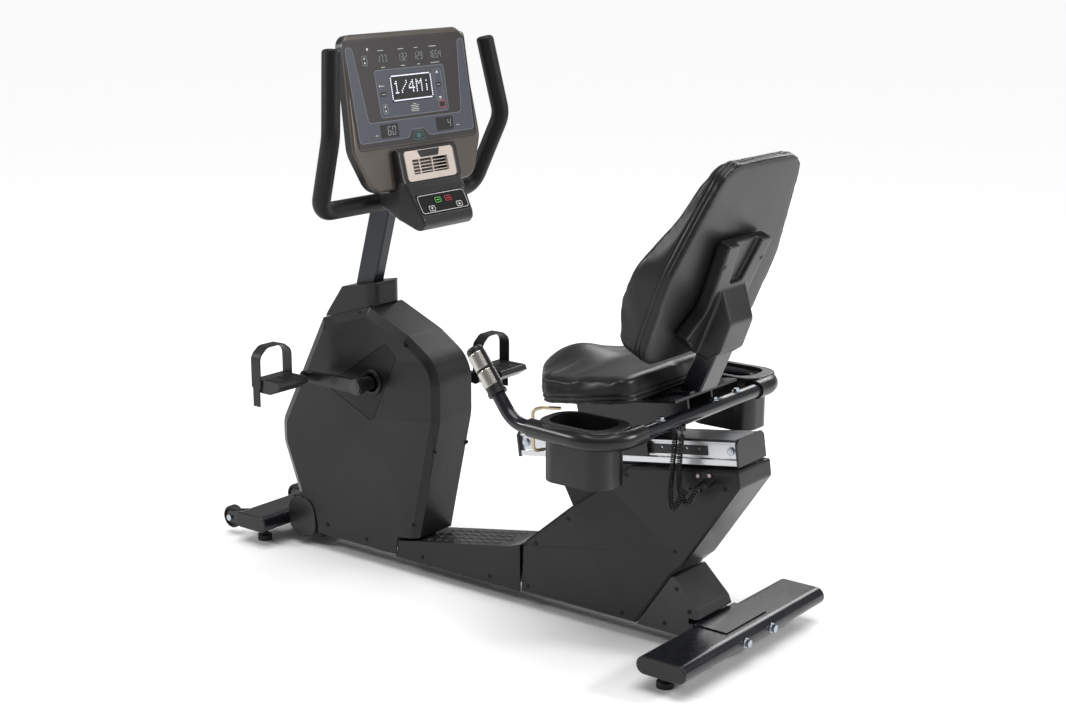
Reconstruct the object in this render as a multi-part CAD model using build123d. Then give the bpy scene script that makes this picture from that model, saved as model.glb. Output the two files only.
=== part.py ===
from build123d import *
import math
import os

# Recumbent exercise bike, in millimetres.
# The rider faces -X. +Z is up, Y is across the bike and Y = 0 is its middle plane.
# The origin is on the floor, under the middle of the bike.

# ---------------------------------------------------------------- driving dimensions
WALL = 3.0                # plastic covers and steel tubes
GAP = 0.5                 # between neighbouring covers
RUNNING = 0.05            # radial clearance of a running fit

# base
REAR_X, REAR_WIDTH, REAR_HALF = 698, 122, 285
FRONT_X, FRONT_WIDTH, FRONT_HALF = -640, 108, 155
TUBE_HEIGHT, TUBE_Z = 40, 60
CAP = 6
SPINE_HALF, SPINE_BOTTOM, SPINE_TOP = 30, 44, 73
FLANGE_X, FLANGE_THICK, FLANGE_HALF = 637, 12, 70
BASE_BOLT_Y, BOLT_R = 53, 5
FOOT_R, FOOT_HEIGHT, STUD_R = 19, 14, 5
REAR_FOOT_X, REAR_FOOT_Y = 675, 231
FRONT_FOOT_X, FRONT_FOOT_Y = -645, 100
WHEEL_X, WHEEL_Y, WHEEL_Z, WHEEL_R, WHEEL_HALF = -741, 115, 46, 29, 10
AXLE_R, FORK_THICK = 4, 3

# crank, pedals and drive
CRANK_X, CRANK_Z, CRANK_RADIUS = -289, 465, 170
ARM_Y, ARM_HALF = 120, 8
SHAFT_R, BEARING_R, SHELL_R = 10, 21, 27
PULLEY_R, PULLEY_Y, PULLEY_HALF = 125, 40, 8
SMALL_R = 26
FLYWHEEL_X, FLYWHEEL_Z, FLYWHEEL_R = -440, 228, 105
FLYWHEEL_Y, FLYWHEEL_HALF = -40, 11
BELT_THICK = 3
PEDAL_Y, PEDAL_HALF, PEDAL_LENGTH, SPINDLE_R = 208, 48, 96, 6

# front shroud
SHROUD_SIDE, SHROUD_RIM, SHROUD_BEVEL = 68, 57, 20
MAST_DEPTH, MAST_WIDTH, MAST_LEAN = 58, 34, 15.5
MAST_BASE = (-390, 560)
MAST_LENGTH = 490

# console
CONSOLE_FOOT = (-169, 945)
CONSOLE_TILT = 10
CONSOLE_HEIGHT, CONSOLE_DEPTH = 357, 38
GRIP_R, BAR_R = 21, 12.5

# rear body and rail
BODY_SIDE = 66
RAIL_START = (148, 360)
RAIL_TILT = 8.2
RAIL_LENGTH, RAIL_HEIGHT = 590, 54
RAIL_TOP, RAIL_WEB, RAIL_FLANGE = 50, 46, 52

# seat
SEAT_BAR_R, SEAT_BAR_Z = 15, 530
CARRIAGE = (165, 365)
PAN_W, CUSHION_W, CUSHION_THICK = 146, 152.5, 60
CUP_X, CUP_Y, CUP_TOP, CUP_BOTTOM = 498, 280, 552, 425
BACK_FOOT = (575, 650)
BACK_TILT = 22.5
BACK_HEIGHT = 468

# pulse lead: outer diameter of the curl, and the two sockets on the left side panel
CURL_R = 6.5
SOCKETS = ((650, 397), (678, 401))

SIDES = {"left": -1, "right": 1}


# ---------------------------------------------------------------- helpers
def area(points, radii=None):
    """A face in the XZ plane from (x, z) corners, each corner rounded when radii are given."""
    corners = [(x, 0, z) for x, z in points]
    if radii is None:
        return make_face(Polyline(*corners, close=True))
    return make_face(FilletPolyline(*corners, radius=radii, close=True))


def slab(shape, y0, y1):
    """A face in the XZ plane carried from y0 to y1."""
    return Pos(0, y0, 0) * extrude(shape, y1 - y0, dir=(0, 1, 0))


def plate(points, y0, y1, radii=None):
    return slab(area(points, radii), y0, y1)


def block(x0, x1, y0, y1, z0, z1):
    return Pos((x0 + x1) / 2, (y0 + y1) / 2, (z0 + z1) / 2) * Box(x1 - x0, y1 - y0, z1 - z0)


def rod(x, z, radius, y0, y1):
    """A cylinder along Y."""
    return Pos(x, (y0 + y1) / 2, z) * Rot(90, 0, 0) * Cylinder(radius, abs(y1 - y0))


def rod_x(y, z, radius, x0, x1):
    """A cylinder along X."""
    return Pos((x0 + x1) / 2, y, z) * Rot(0, 90, 0) * Cylinder(radius, abs(x1 - x0))


def post(x, y, radius, z0, z1):
    """A cylinder along Z."""
    return Pos(x, y, (z0 + z1) / 2) * Cylinder(radius, z1 - z0)


def spine_room():
    """The space that the covers leave for the spine and its flange."""
    tube = block(-600, FLANGE_X, -SPINE_HALF - GAP, SPINE_HALF + GAP, SPINE_BOTTOM - 10, SPINE_TOP + GAP)
    return tube + block(FLANGE_X - FLANGE_THICK - 1, FLANGE_X + 1, -FLANGE_HALF - 1, FLANGE_HALF + 1, 30, 77)


def flip(solid):
    """The same piece on the other side of the middle plane."""
    return mirror(solid, about=Plane.XZ)


def both(solid):
    return [solid, flip(solid)]


def pipe(points, radii, radius):
    """A round bar along straight runs joined by tangent arcs."""
    path = FilletPolyline(*points, radius=radii)
    start = Plane(path @ 0, z_dir=path % 0)
    return sweep(start * Circle(radius), path=path)


def beam(start, end, width, depth, wall=None):
    """A rectangular bar between two (x, z) points; width is across Y, depth lies in the XZ plane."""
    dx, dz = end[0] - start[0], end[1] - start[1]
    length = math.hypot(dx, dz)
    place = Plane(origin=(start[0], 0, start[1]), x_dir=(0, 1, 0), z_dir=(dx, 0, dz))
    profile = RectangleRounded(width, depth, 5)
    if wall:
        profile -= RectangleRounded(width - 2 * wall, depth - 2 * wall, 2)
    return place * extrude(profile, length)


def stadium(width, x, y0, y1, wall=0):
    """A flat oval bar along Y."""
    place = Plane(origin=(x, y0, TUBE_Z), x_dir=(1, 0, 0), z_dir=(0, 1, 0))
    return place * extrude(SlotOverall(width - 2 * wall, TUBE_HEIGHT - 2 * wall), y1 - y0)


def inset(points, radii, distance):
    """The outline moved inwards by a distance, with its round corners kept concentric."""
    turn = sum(a[0] * b[1] - b[0] * a[1] for a, b in zip(points, points[1:] + points[:1]))
    hand = 1 if turn > 0 else -1
    moved, rounded = [], []
    for k, (x, z) in enumerate(points):
        before, after = points[k - 1], points[(k + 1) % len(points)]
        first = Vector(x - before[0], z - before[1]).normalized()
        second = Vector(after[0] - x, after[1] - z).normalized()
        side_a = Vector(-first.Y, first.X) * hand
        side_b = Vector(-second.Y, second.X) * hand
        step = (side_a + side_b) * (distance / (1 + side_a.dot(side_b)))
        moved.append((x + step.X, z + step.Y))
        convex = (first.X * second.Y - first.Y * second.X) * hand > 0
        rounded.append(max(radii[k] - distance, 0.5) if convex else radii[k] + distance)
    return moved, rounded


def bevelled(points, radii, reach, deep, wide):
    """The outline carried from the middle plane to y = reach, with a bevel round its far edge."""
    low = slab(area(points, radii), 0, reach - deep)
    base = Pos(0, reach - deep, 0) * area(points, radii)
    cap = Pos(0, reach, 0) * area(*inset(points, radii, wide))
    return low + loft([base, cap], ruled=True)


def half_cover(points, radii, side, reach, deep, wide):
    """One moulded half of a cover: open at the middle plane, closed at y = reach."""
    outer = bevelled(points, radii, reach, deep, wide)
    inner = bevelled(*inset(points, radii, WALL), reach - WALL, deep, wide)
    shell = outer - inner - block(-900, 900, -1, GAP / 4, -50, 1300)
    return shell if side > 0 else flip(shell)


def group(solids):
    return Compound(children=list(solids))


def save(name, shape):
    shape.label = name
    export_step(shape, f"parts/{name}.step")


# ---------------------------------------------------------------- base
def spine_tube():
    """The low main tube, with the bolted flange that meets the rear stabiliser."""
    tube = block(-586, FLANGE_X - FLANGE_THICK, -SPINE_HALF, SPINE_HALF, SPINE_BOTTOM, SPINE_TOP)
    hollow = block(
        -583, FLANGE_X - FLANGE_THICK - WALL, WALL - SPINE_HALF, SPINE_HALF - WALL,
        SPINE_BOTTOM + WALL, SPINE_TOP - WALL,
    )
    flange = block(FLANGE_X - FLANGE_THICK, FLANGE_X, -FLANGE_HALF, FLANGE_HALF, 44, 76)
    for y in (-BASE_BOLT_Y, BASE_BOLT_Y):
        flange -= rod_x(y, TUBE_Z, BOLT_R, 600, 640)
    return tube - hollow + flange


def front_stabiliser():
    """Flat oval foot tube with a fork for each transport wheel."""
    tube = stadium(FRONT_WIDTH, FRONT_X, CAP - FRONT_HALF, FRONT_HALF - CAP)
    tube -= stadium(FRONT_WIDTH, FRONT_X, CAP - FRONT_HALF, FRONT_HALF - CAP, WALL)
    saddle = block(-600, -560, -40, 40, SPINE_TOP + 0.2, 81)
    tube += saddle
    for side in SIDES.values():
        for step in (-1, 1):
            inner = side * WHEEL_Y + step * (WHEEL_HALF + 1)
            outer = inner + step * FORK_THICK
            ear = plate(
                [(-676, 44), (-676, 72), (-700, 72), (-752, 60), (-752, 34), (-730, 34)],
                min(inner, outer), max(inner, outer), [2, 2, 14, 12, 10, 10],
            )
            tube += ear - stadium(FRONT_WIDTH, FRONT_X, -FRONT_HALF, FRONT_HALF, WALL)
            tube -= rod(WHEEL_X, WHEEL_Z, AXLE_R, inner - 4, inner + 4)
    return tube


def rear_stabiliser():
    """Flat oval foot tube with the weld plate of the main frame on it."""
    tube = stadium(REAR_WIDTH, REAR_X, CAP - REAR_HALF, REAR_HALF - CAP)
    tube -= stadium(REAR_WIDTH, REAR_X, CAP - REAR_HALF, REAR_HALF - CAP, WALL)
    tube += block(646, 728, -80, 80, TUBE_Z + TUBE_HEIGHT / 2, TUBE_Z + TUBE_HEIGHT / 2 + 3)
    for y in (-BASE_BOLT_Y, BASE_BOLT_Y):
        tube -= rod_x(y, TUBE_Z, BOLT_R + 0.2, 630, 770)
    for y in (-REAR_FOOT_Y, REAR_FOOT_Y):
        tube -= post(REAR_FOOT_X, y, STUD_R + RUNNING, 30, 50)
    return tube


def stabiliser_caps():
    caps = []
    for x, width, half in ((REAR_X, REAR_WIDTH, REAR_HALF), (FRONT_X, FRONT_WIDTH, FRONT_HALF)):
        cap = stadium(width, x, half - CAP, half)
        rim = cap.edges().filter_by_position(Axis.Y, half - 0.01, half + 0.01)
        caps += both(fillet(rim, 3))
    return caps


def hex_head(y, z, x, across, height, direction):
    place = Plane(origin=(x, y, z), z_dir=(direction, 0, 0))
    return place * extrude(RegularPolygon(across / 2, 6, major_radius=False), height)


def frame_bolts():
    """Stabiliser bolts, wheel axle bolts and the bolts at the ends of the rail."""
    bolts = []
    face = REAR_X + REAR_WIDTH / 2
    for y in (-BASE_BOLT_Y, BASE_BOLT_Y):
        bolt = rod_x(y, TUBE_Z, BOLT_R, FLANGE_X - FLANGE_THICK, face)
        bolt += rod_x(y, TUBE_Z, 11, face, face + 2)
        bolts.append(bolt + hex_head(y, TUBE_Z, face + 2, 16, 9, 1))
    for side in SIDES.values():
        reach = WHEEL_HALF + 1 + FORK_THICK
        y0, y1 = side * WHEEL_Y - reach, side * WHEEL_Y + reach
        bolt = rod(WHEEL_X, WHEEL_Z, AXLE_R, y0, y1)
        head = y1 if side > 0 else y0
        bolts.append(bolt + rod(WHEEL_X, WHEEL_Z, 8, head, head + side * 5))
    for u in (21, 568):
        for side in SIDES.values():
            y = side * RAIL_WEB
            bolt = rod(u, 30, 10, y, y + side * 2) + rod(u, 30, 8, y, y + side * 5.5)
            bolts.append(rail_place() * (bolt + rod(u, 30, 4, y - side * 10, y)))
    return group(bolts)


def levelling_foot(side):
    y = side * REAR_FOOT_Y
    disc = post(REAR_FOOT_X, y, FOOT_R, 0, FOOT_HEIGHT)
    disc = chamfer(disc.edges().filter_by(GeomType.CIRCLE).sort_by(Axis.Z)[-1], 2)
    nut = post(REAR_FOOT_X, y, 10, FOOT_HEIGHT, FOOT_HEIGHT + 6)
    return disc + nut + post(REAR_FOOT_X, y, STUD_R, FOOT_HEIGHT, 52)


def front_feet():
    pad = post(FRONT_FOOT_X, -FRONT_FOOT_Y, FOOT_R - 1, 0, FOOT_HEIGHT)
    pad += post(FRONT_FOOT_X, -FRONT_FOOT_Y, 9, FOOT_HEIGHT, TUBE_Z - TUBE_HEIGHT / 2)
    return group(both(pad))


def transport_wheel(side):
    y = side * WHEEL_Y
    wheel = rod(WHEEL_X, WHEEL_Z, WHEEL_R, y - WHEEL_HALF, y + WHEEL_HALF)
    wheel = fillet(wheel.edges().filter_by(GeomType.CIRCLE), 3)
    recess = rod(WHEEL_X, WHEEL_Z, WHEEL_R - 6, 0, 6) - rod(WHEEL_X, WHEEL_Z, 9, 0, 6)
    wheel -= Pos(0, y + WHEEL_HALF - 4, 0) * recess
    wheel -= Pos(0, y - WHEEL_HALF - 2, 0) * recess
    return wheel - rod(WHEEL_X, WHEEL_Z, AXLE_R + RUNNING, y - 20, y + 20)


# ---------------------------------------------------------------- inner frame
def front_upright():
    """Post from the spine to the mast, with the crank shell and the flywheel shell on it."""
    upright = beam((-372, SPINE_TOP - 5), (-390, 548), 34, 56, WALL)
    upright += beam((-375, CRANK_Z), (CRANK_X, CRANK_Z), 34, 50)
    upright += rod(CRANK_X, CRANK_Z, SHELL_R, -34, 30)
    upright += beam((-380, 170), (FLYWHEEL_X + 10, FLYWHEEL_Z - 8), 34, 24)
    upright += rod(FLYWHEEL_X, FLYWHEEL_Z, SHELL_R, -26, 29)
    upright -= block(-600, -200, -60, 60, 0, SPINE_TOP)
    for x, z in ((CRANK_X, CRANK_Z), (FLYWHEEL_X, FLYWHEEL_Z)):
        upright -= rod(x, z, SHAFT_R + 3, -60, 60)
        upright -= rod(x, z, BEARING_R, -60, -11)
        upright -= rod(x, z, BEARING_R, 14, 60)
    return upright


def brace_bar(grow=0.0):
    """The bar that slants forward under the front of the rail."""
    return beam((470, 190), (296, 384), 50 + grow, 36 + grow)


def main_bar(grow=0.0):
    """The bar that slants back to the rear end of the rail."""
    return beam((400, SPINE_TOP - 8), (604, 421), 60 + grow, 56 + grow)


def rear_upright():
    """Two slanting bars inside the rear body that carry the rail on a top plate."""
    upright = main_bar() + brace_bar()
    upright -= block(200, 600, -60, 60, 0, SPINE_TOP)
    plate_piece = rail_place() * block(70, 570, -40, 40, -6, 0)
    above = rail_place() * block(-50, 700, -80, 80, -3, 200)
    return upright - above + plate_piece


def shaft_bearings():
    rings = []
    for x, z, low, high in (
        (CRANK_X, CRANK_Z, -33, 29), (FLYWHEEL_X, FLYWHEEL_Z, -25, 28),
    ):
        for y0, y1 in ((low, low + 13), (high - 13, high)):
            ring = rod(x, z, BEARING_R, y0, y1) - rod(x, z, SHAFT_R + RUNNING, y0, y1)
            rings.append(ring)
    return group(rings)


# ---------------------------------------------------------------- drive
def crank_axle():
    reach = ARM_Y + ARM_HALF + 4
    return rod(CRANK_X, CRANK_Z, SHAFT_R, -reach, reach)


def crank_arms():
    """Two tapered arms on the axle's ends, each with its pedal spindle."""
    arms = []
    for side in SIDES.values():
        end = CRANK_X + side * CRANK_RADIUS
        near, far = sorted((side * (ARM_Y - ARM_HALF), side * (ARM_Y + ARM_HALF)))
        arm = slab(area([
            (CRANK_X, CRANK_Z - 17), (end, CRANK_Z - 12), (end, CRANK_Z + 12), (CRANK_X, CRANK_Z + 17),
        ]), near, far)
        arm += rod(CRANK_X, CRANK_Z, 20, near, far) + rod(end, CRANK_Z, 14, near, far)
        arm += rod(CRANK_X, CRANK_Z, 17, side * (SHROUD_SIDE + 8), side * (ARM_Y + ARM_HALF + 3))
        arm += rod(end, CRANK_Z, SPINDLE_R, side * ARM_Y, side * (PEDAL_Y + PEDAL_HALF - 4))
        arm -= rod(CRANK_X, CRANK_Z, SHAFT_R, -200, 200)
        arms.append(arm)
    return group(arms)


def drive_pulley():
    y0, y1 = PULLEY_Y - PULLEY_HALF, PULLEY_Y + PULLEY_HALF
    pulley = rod(CRANK_X, CRANK_Z, PULLEY_R, y0, y1)
    web = rod(CRANK_X, CRANK_Z, PULLEY_R - 14, 0, 20) - rod(CRANK_X, CRANK_Z, 26, 0, 20)
    pulley -= Pos(0, y1 - 5, 0) * web
    for k in range(6):
        angle = math.radians(60 * k + 30)
        x = CRANK_X + 70 * math.cos(angle)
        z = CRANK_Z + 70 * math.sin(angle)
        pulley -= rod(x, z, 20, y0 - 5, y1 + 5)
    return pulley - rod(CRANK_X, CRANK_Z, SHAFT_R, y0 - 5, y1 + 5)


def flywheel():
    """Steel disc, its shaft and the small belt pulley, pressed together."""
    y0, y1 = FLYWHEEL_Y - FLYWHEEL_HALF, FLYWHEEL_Y + FLYWHEEL_HALF
    wheel = rod(FLYWHEEL_X, FLYWHEEL_Z, FLYWHEEL_R, y0, y1)
    groove = rod(FLYWHEEL_X, FLYWHEEL_Z, FLYWHEEL_R - 18, 0, 6) - rod(FLYWHEEL_X, FLYWHEEL_Z, 26, 0, 6)
    wheel -= Pos(0, y0 - 2, 0) * groove
    wheel += rod(FLYWHEEL_X, FLYWHEEL_Z, SHAFT_R, y0, PULLEY_Y + PULLEY_HALF + 4)
    return wheel + rod(FLYWHEEL_X, FLYWHEEL_Z, SMALL_R, PULLEY_Y - PULLEY_HALF, PULLEY_Y + PULLEY_HALF)


def drive_belt():
    """Ribbed belt round both pulleys, running just clear of them."""
    big, small = PULLEY_R + 0.3, SMALL_R + 0.3
    dx, dz = FLYWHEEL_X - CRANK_X, FLYWHEEL_Z - CRANK_Z
    distance = math.hypot(dx, dz)
    heading = math.atan2(dz, dx)
    spread = math.acos((big - small) / distance)

    def loop(grow):
        face = None
        corners = []
        for angle in (heading + spread, heading - spread):
            c, s = math.cos(angle), math.sin(angle)
            corners.append((CRANK_X + (big + grow) * c, CRANK_Z + (big + grow) * s))
            corners.append((FLYWHEEL_X + (small + grow) * c, FLYWHEEL_Z + (small + grow) * s))
        corners = [corners[0], corners[1], corners[3], corners[2]]
        y0, y1 = PULLEY_Y - PULLEY_HALF + 1, PULLEY_Y + PULLEY_HALF - 1
        solid = plate(corners, y0, y1)
        solid += rod(CRANK_X, CRANK_Z, big + grow, y0, y1)
        return solid + rod(FLYWHEEL_X, FLYWHEEL_Z, small + grow, y0, y1)

    return loop(BELT_THICK) - loop(0)


def pedal(side):
    """Wedge-shaped platform that turns on its spindle."""
    x = CRANK_X + side * CRANK_RADIUS
    y0, y1 = sorted((side * (PEDAL_Y - PEDAL_HALF), side * (PEDAL_Y + PEDAL_HALF)))
    half = PEDAL_LENGTH / 2
    body = plate([
        (x - half, CRANK_Z + 2), (x - half + 6, CRANK_Z + 14), (x + half - 6, CRANK_Z + 14),
        (x + half, CRANK_Z + 2), (x + 16, CRANK_Z - 18), (x - 16, CRANK_Z - 18),
    ], y0, y1, [3, 4, 4, 3, 6, 6])
    blind = PEDAL_Y + PEDAL_HALF - 3
    return body - rod(x, CRANK_Z, SPINDLE_R + RUNNING, 0, side * blind)


def pedal_strap(side):
    """Rubber toe strap: a loop over the platform, from its inner edge to its outer edge."""
    x = CRANK_X + side * CRANK_RADIUS
    y = side * PEDAL_Y
    half, low, top = PEDAL_HALF + 5, CRANK_Z - 6, CRANK_Z + 92
    outer = [(-half, low), (-half, top - 20), (-half + 26, top), (half - 26, top), (half, top - 20), (half, low)]
    radii = [0.5, 24, 26, 26, 24, 0.5]
    front, rear = x - 42, x - 12
    place = Plane(origin=(front, y, 0), x_dir=(0, 1, 0), z_dir=(1, 0, 0))
    skin = place * extrude(make_face(FilletPolyline(*outer, radius=radii, close=True)), 30)
    inner = [(-half + 2.6, low - 5), (-half + 2.6, top - 22), (-half + 27, top - 2.6),
             (half - 27, top - 2.6), (half - 2.6, top - 22), (half - 2.6, low - 5)]
    hollow = place * extrude(make_face(FilletPolyline(*inner, radius=radii, close=True)), 30)
    rim = block(front, rear, y - half, y + half, low, low + 12)
    rim -= block(front - 5, rear + 5, y - PEDAL_HALF, y + PEDAL_HALF, low - 5, low + 20)
    tail_y = -half if side < 0 else half
    tail = block(front + 4, rear - 4, y + min(tail_y, tail_y - side * 2.6), y + max(tail_y, tail_y - side * 2.6),
                 CRANK_Z - 52, low)
    return skin - hollow + rim + tail


# ---------------------------------------------------------------- front covers
SHROUD_POINTS = [
    (-497, -20), (-606, 262), (-606, 318), (-457, 600), (-302, 645),
    (-178, 592), (-84, 530), (-84, 400), (-179, -20),
]
SHROUD_RADII = [2, 70, 60, 6, 6, 60, 90, 120, 2]


def access_face():
    """Outline of the access cover around the crank."""
    return area([(-452, 438), (-386, 470), (-247, 566), (-211, 536), (-292, 367)], [8, 60, 10, 10, 10])


def front_shroud(side):
    """Half of the drive cover, cut away at the bottom round the frame and for the access cover."""
    shell = half_cover(SHROUD_POINTS, SHROUD_RADII, side, SHROUD_SIDE, SHROUD_SIDE - SHROUD_RIM, SHROUD_BEVEL)
    shell -= block(-900, 0, -100, 100, -60, 43)
    shell -= plate([(-600, 20), (-484, 20), (-491, 128), (-600, 128)], -100, 100, [1, 1, 68, 1])
    shell -= plate([(-228, 20), (-216, 89), (-152, 97), (-100, 97), (-100, 20)], -100, 100, [1, 8, 8, 1, 1])
    opening = offset(access_face(), 0.6)
    far = side * (SHROUD_SIDE + 5)
    near = side * (SHROUD_SIDE - WALL - 5)
    shell -= slab(opening, min(near, far), max(near, far))
    return without_screws(shell - mast_bar(MAST_WIDTH + 4, MAST_DEPTH + 4), "shroud")


def crank_covers():
    """Access cover with a raised boss that leaves room for the crank hub."""
    cover = slab(access_face(), SHROUD_SIDE - WALL, SHROUD_SIDE)
    boss = rod(CRANK_X, CRANK_Z, 32, SHROUD_SIDE - WALL, SHROUD_SIDE + 6)
    boss = fillet(boss.edges().filter_by(GeomType.CIRCLE).sort_by(Axis.Y)[-1], 3)
    cover += boss
    cover -= rod(CRANK_X, CRANK_Z, 23, SHROUD_SIDE - 10, SHROUD_SIDE + 10)
    return group(both(cover))


def front_base_cover():
    """Rounded knuckle over the joint between the spine and the front stabiliser."""
    fan = plate([(-585, 24), (-490, 24), (-497, 122), (-584, 122)], -54, 54, [1, 1, 62, 3])
    hollow = plate([(-640, 20), (-493, 20), (-500, 119), (-640, 119)], -51, 51, [1, 1, 59, 1])
    return fan - hollow - spine_room()


def neck_cover():
    """Tapered collar that closes the shroud round the foot of the mast."""
    side = [(-458, 600.3), (-396, 684), (-318, 698), (-296, 702), (-296, 644), (-303, 645.3)]
    plan = Pos(-383, 0, 560) * extrude(RectangleRounded(174, 104, 26), 160)
    body = plate(side, -52, 52, [2, 6, 8, 6, 4, 2]) & plan
    inner_plan = Pos(-383, 0, 560) * extrude(RectangleRounded(168, 98, 23), 160)
    inner = plate([(-455, 590), (-393, 681), (-290, 698), (-290, 630), (-306, 640)], -49, 49) & inner_plan
    return body - inner - mast_bar(MAST_WIDTH + 8, MAST_DEPTH + 8)


def footwell_cover():
    outer = plate([(-225, 37), (-213, 80), (128, 141), (160, 152), (160, 37)], -66, 66, [2, 4, 60, 2, 2])
    inner = plate([(-240, 30), (-240, 74), (-212, 77), (130, 138), (180, 150), (180, 30)], -63, 63)
    return without_screws(outer - inner, "footwell")


# ---------------------------------------------------------------- rear body
BODY_POINTS = [
    (162, 38), (166, 151), (180, 168), (318, 284), (404, 345), (459, 396), (736, 437), (741, 400),
    (605, 200), (576, 174), (482, 40),
]
BODY_RADII = [3, 5, 10, 40, 10, 12, 6, 10, 40, 8, 3]
NECK_POINTS = [(300, 262), (264, 326), (246, 366), (470, 398), (418, 350)]


def rear_body(side):
    """Side moulding of the rear body, with the narrower neck that runs up under the rail."""
    shell = half_cover(BODY_POINTS, BODY_RADII, side, BODY_SIDE, 4, 5)
    neck = slab(area(NECK_POINTS), 1, 46) - slab(offset(area(NECK_POINTS), -2.5, kind=Kind.INTERSECTION), 0, 43.5)
    if side < 0:
        neck = flip(neck)
    inner = slab(area(BODY_POINTS, BODY_RADII), -100, 100)
    shell = shell + (neck - inner) - brace_bar(4) - main_bar(4) - spine_room()
    return without_screws(shell, "body")


def rear_base_cover():
    """Cover of the rear foot: triangular sides and a slanting back."""
    points = [(577, 172), (484, 38), (636, 38), (640, 86), (652, 88), (644, 108)]
    radii = [6, 2, 2, 2, 3, 26]
    outer = plate(points, -62, 62, radii)
    inner = slab(offset(area(points), -WALL, kind=Kind.INTERSECTION), -59, 59)
    inner += block(486, 634, -59, 59, 30, 50)
    cover = outer - inner - block(620, 700, -80, 80, 30, 84) - spine_room()
    return without_screws(cover, "tail")


SCREW_R = 5
SCREWS = {
    "shroud": (SHROUD_SIDE - 7, [(-331, 628), (-180, 572), (-104, 320), (-166, 130), (-452, 70), (-320, 60), (-449, 578)]),
    "body": (BODY_SIDE, [(454, 376), (298, 243), (207, 165), (184, 56), (448, 56), (583, 228), (706, 393)]),
    "footwell": (66, [(-139, 54), (69, 54)]),
    "tail": (62, [(588, 143), (558, 58), (622, 99)]),
}


def screw_rods(cover):
    """The screws of one cover, on both sides."""
    reach, places = SCREWS[cover]
    return [piece for x, z in places for piece in both(rod(x, z, SCREW_R, reach - 6, reach + 1))]


def without_screws(solid, cover):
    for screw in screw_rods(cover):
        solid -= screw
    return solid


def cover_screws():
    """Black cover screws, the same on both sides."""
    return group([screw for cover in SCREWS for screw in screw_rods(cover)])


# ---------------------------------------------------------------- mast, handlebar and console
def mast_bar(width, depth):
    lean = math.radians(MAST_LEAN)
    end = (MAST_BASE[0] + MAST_LENGTH * math.sin(lean), MAST_BASE[1] + MAST_LENGTH * math.cos(lean))
    return beam(MAST_BASE, end, width, depth)


def mast():
    lean = math.radians(MAST_LEAN)
    end = (MAST_BASE[0] + MAST_LENGTH * math.sin(lean), MAST_BASE[1] + MAST_LENGTH * math.cos(lean))
    return beam(MAST_BASE, end, MAST_WIDTH, MAST_DEPTH, WALL)


HANDLE_POINTS = [
    (-206, 266, 1262), (-183, 297, 1082), (-252, 268, 905),
    (-252, -268, 905), (-183, -297, 1082), (-206, -266, 1262),
]
HANDLE_RADII = [70, 42, 42, 70]


def handlebar():
    bar = pipe(HANDLE_POINTS, HANDLE_RADII, BAR_R)
    return bar - mast_bar(MAST_WIDTH, MAST_DEPTH)


def handlebar_grips():
    """Foam sleeves on both arms of the handlebar, closed at the top."""
    right = [(-207.5, 264, 1270), (-183, 297, 1082), (-252, 268, 905), (-252, 60, 905)]
    sleeve = pipe(right, [70, 42], GRIP_R)
    sleeve = fillet(sleeve.faces().sort_by(Axis.Z)[-1].edges(), 8)
    sleeve -= pipe(HANDLE_POINTS, HANDLE_RADII, BAR_R)
    return group(both(sleeve))


def console_place():
    return Location((CONSOLE_FOOT[0], 0, CONSOLE_FOOT[1]), (0, -CONSOLE_TILT, 0))


CONSOLE_POINTS = [(-203, 357), (203, 357), (220, 96), (176, 0), (-176, 0), (-220, 96)]
CONSOLE_RADII = [30, 30, 60, 50, 50, 60]


def console_area(grow=0.0):
    """The console's outline in the YZ plane of its own frame."""
    corners = [(0, y, z) for y, z in CONSOLE_POINTS]
    face = make_face(FilletPolyline(*corners, radius=CONSOLE_RADII, close=True))
    return offset(face, grow) if grow else face


def console_shell():
    """Rear moulding of the console."""
    solid = extrude(console_area(), CONSOLE_DEPTH - 8, dir=(-1, 0, 0))
    solid = Pos(-8, 0, 0) * solid
    back = solid.faces().sort_by(Axis.X)[0].edges()
    solid = chamfer(back, 12)
    hollow = Pos(-8, 0, 0) * extrude(console_area(-WALL - 12), CONSOLE_DEPTH - 8 - WALL, dir=(-1, 0, 0))
    seated = console_place() * (solid - hollow)
    return seated - mast_bar(MAST_WIDTH, MAST_DEPTH)


def console_face():
    """Front moulding, with the display sheet in its shallow tray."""
    solid = extrude(console_area(), 8, dir=(-1, 0, 0))
    solid = fillet(solid.faces().sort_by(Axis.X)[-1].edges(), 5)
    return console_place() * solid


POD_POINTS = [(-172, 1038), (-164, 1034), (-146, 962), (-134, 944), (-99, 880), (-98, 866), (-112, 850), (-222, 905), (-222, 1000)]
POD_RADII = [2, 4, 14, 14, 4, 4, 8, 10, 10]
VENT = (-155, 997)
VENT_TILT = 14
KEYPAD = (-117, 911)
KEYPAD_TILT = 28.5
KEYS = {"start": (-16, 6), "stop": (19, 6), "down": (-46, -12), "up": (50, -12)}
KEY_HALF, KEY_TRAVEL = 9, 1.5


def pod_frame(centre, tilt):
    """A place on the pod: local X is out of the face, local Y across, local Z up the face."""
    return Location((centre[0], 0, centre[1]), (0, -tilt, 0))


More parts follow.
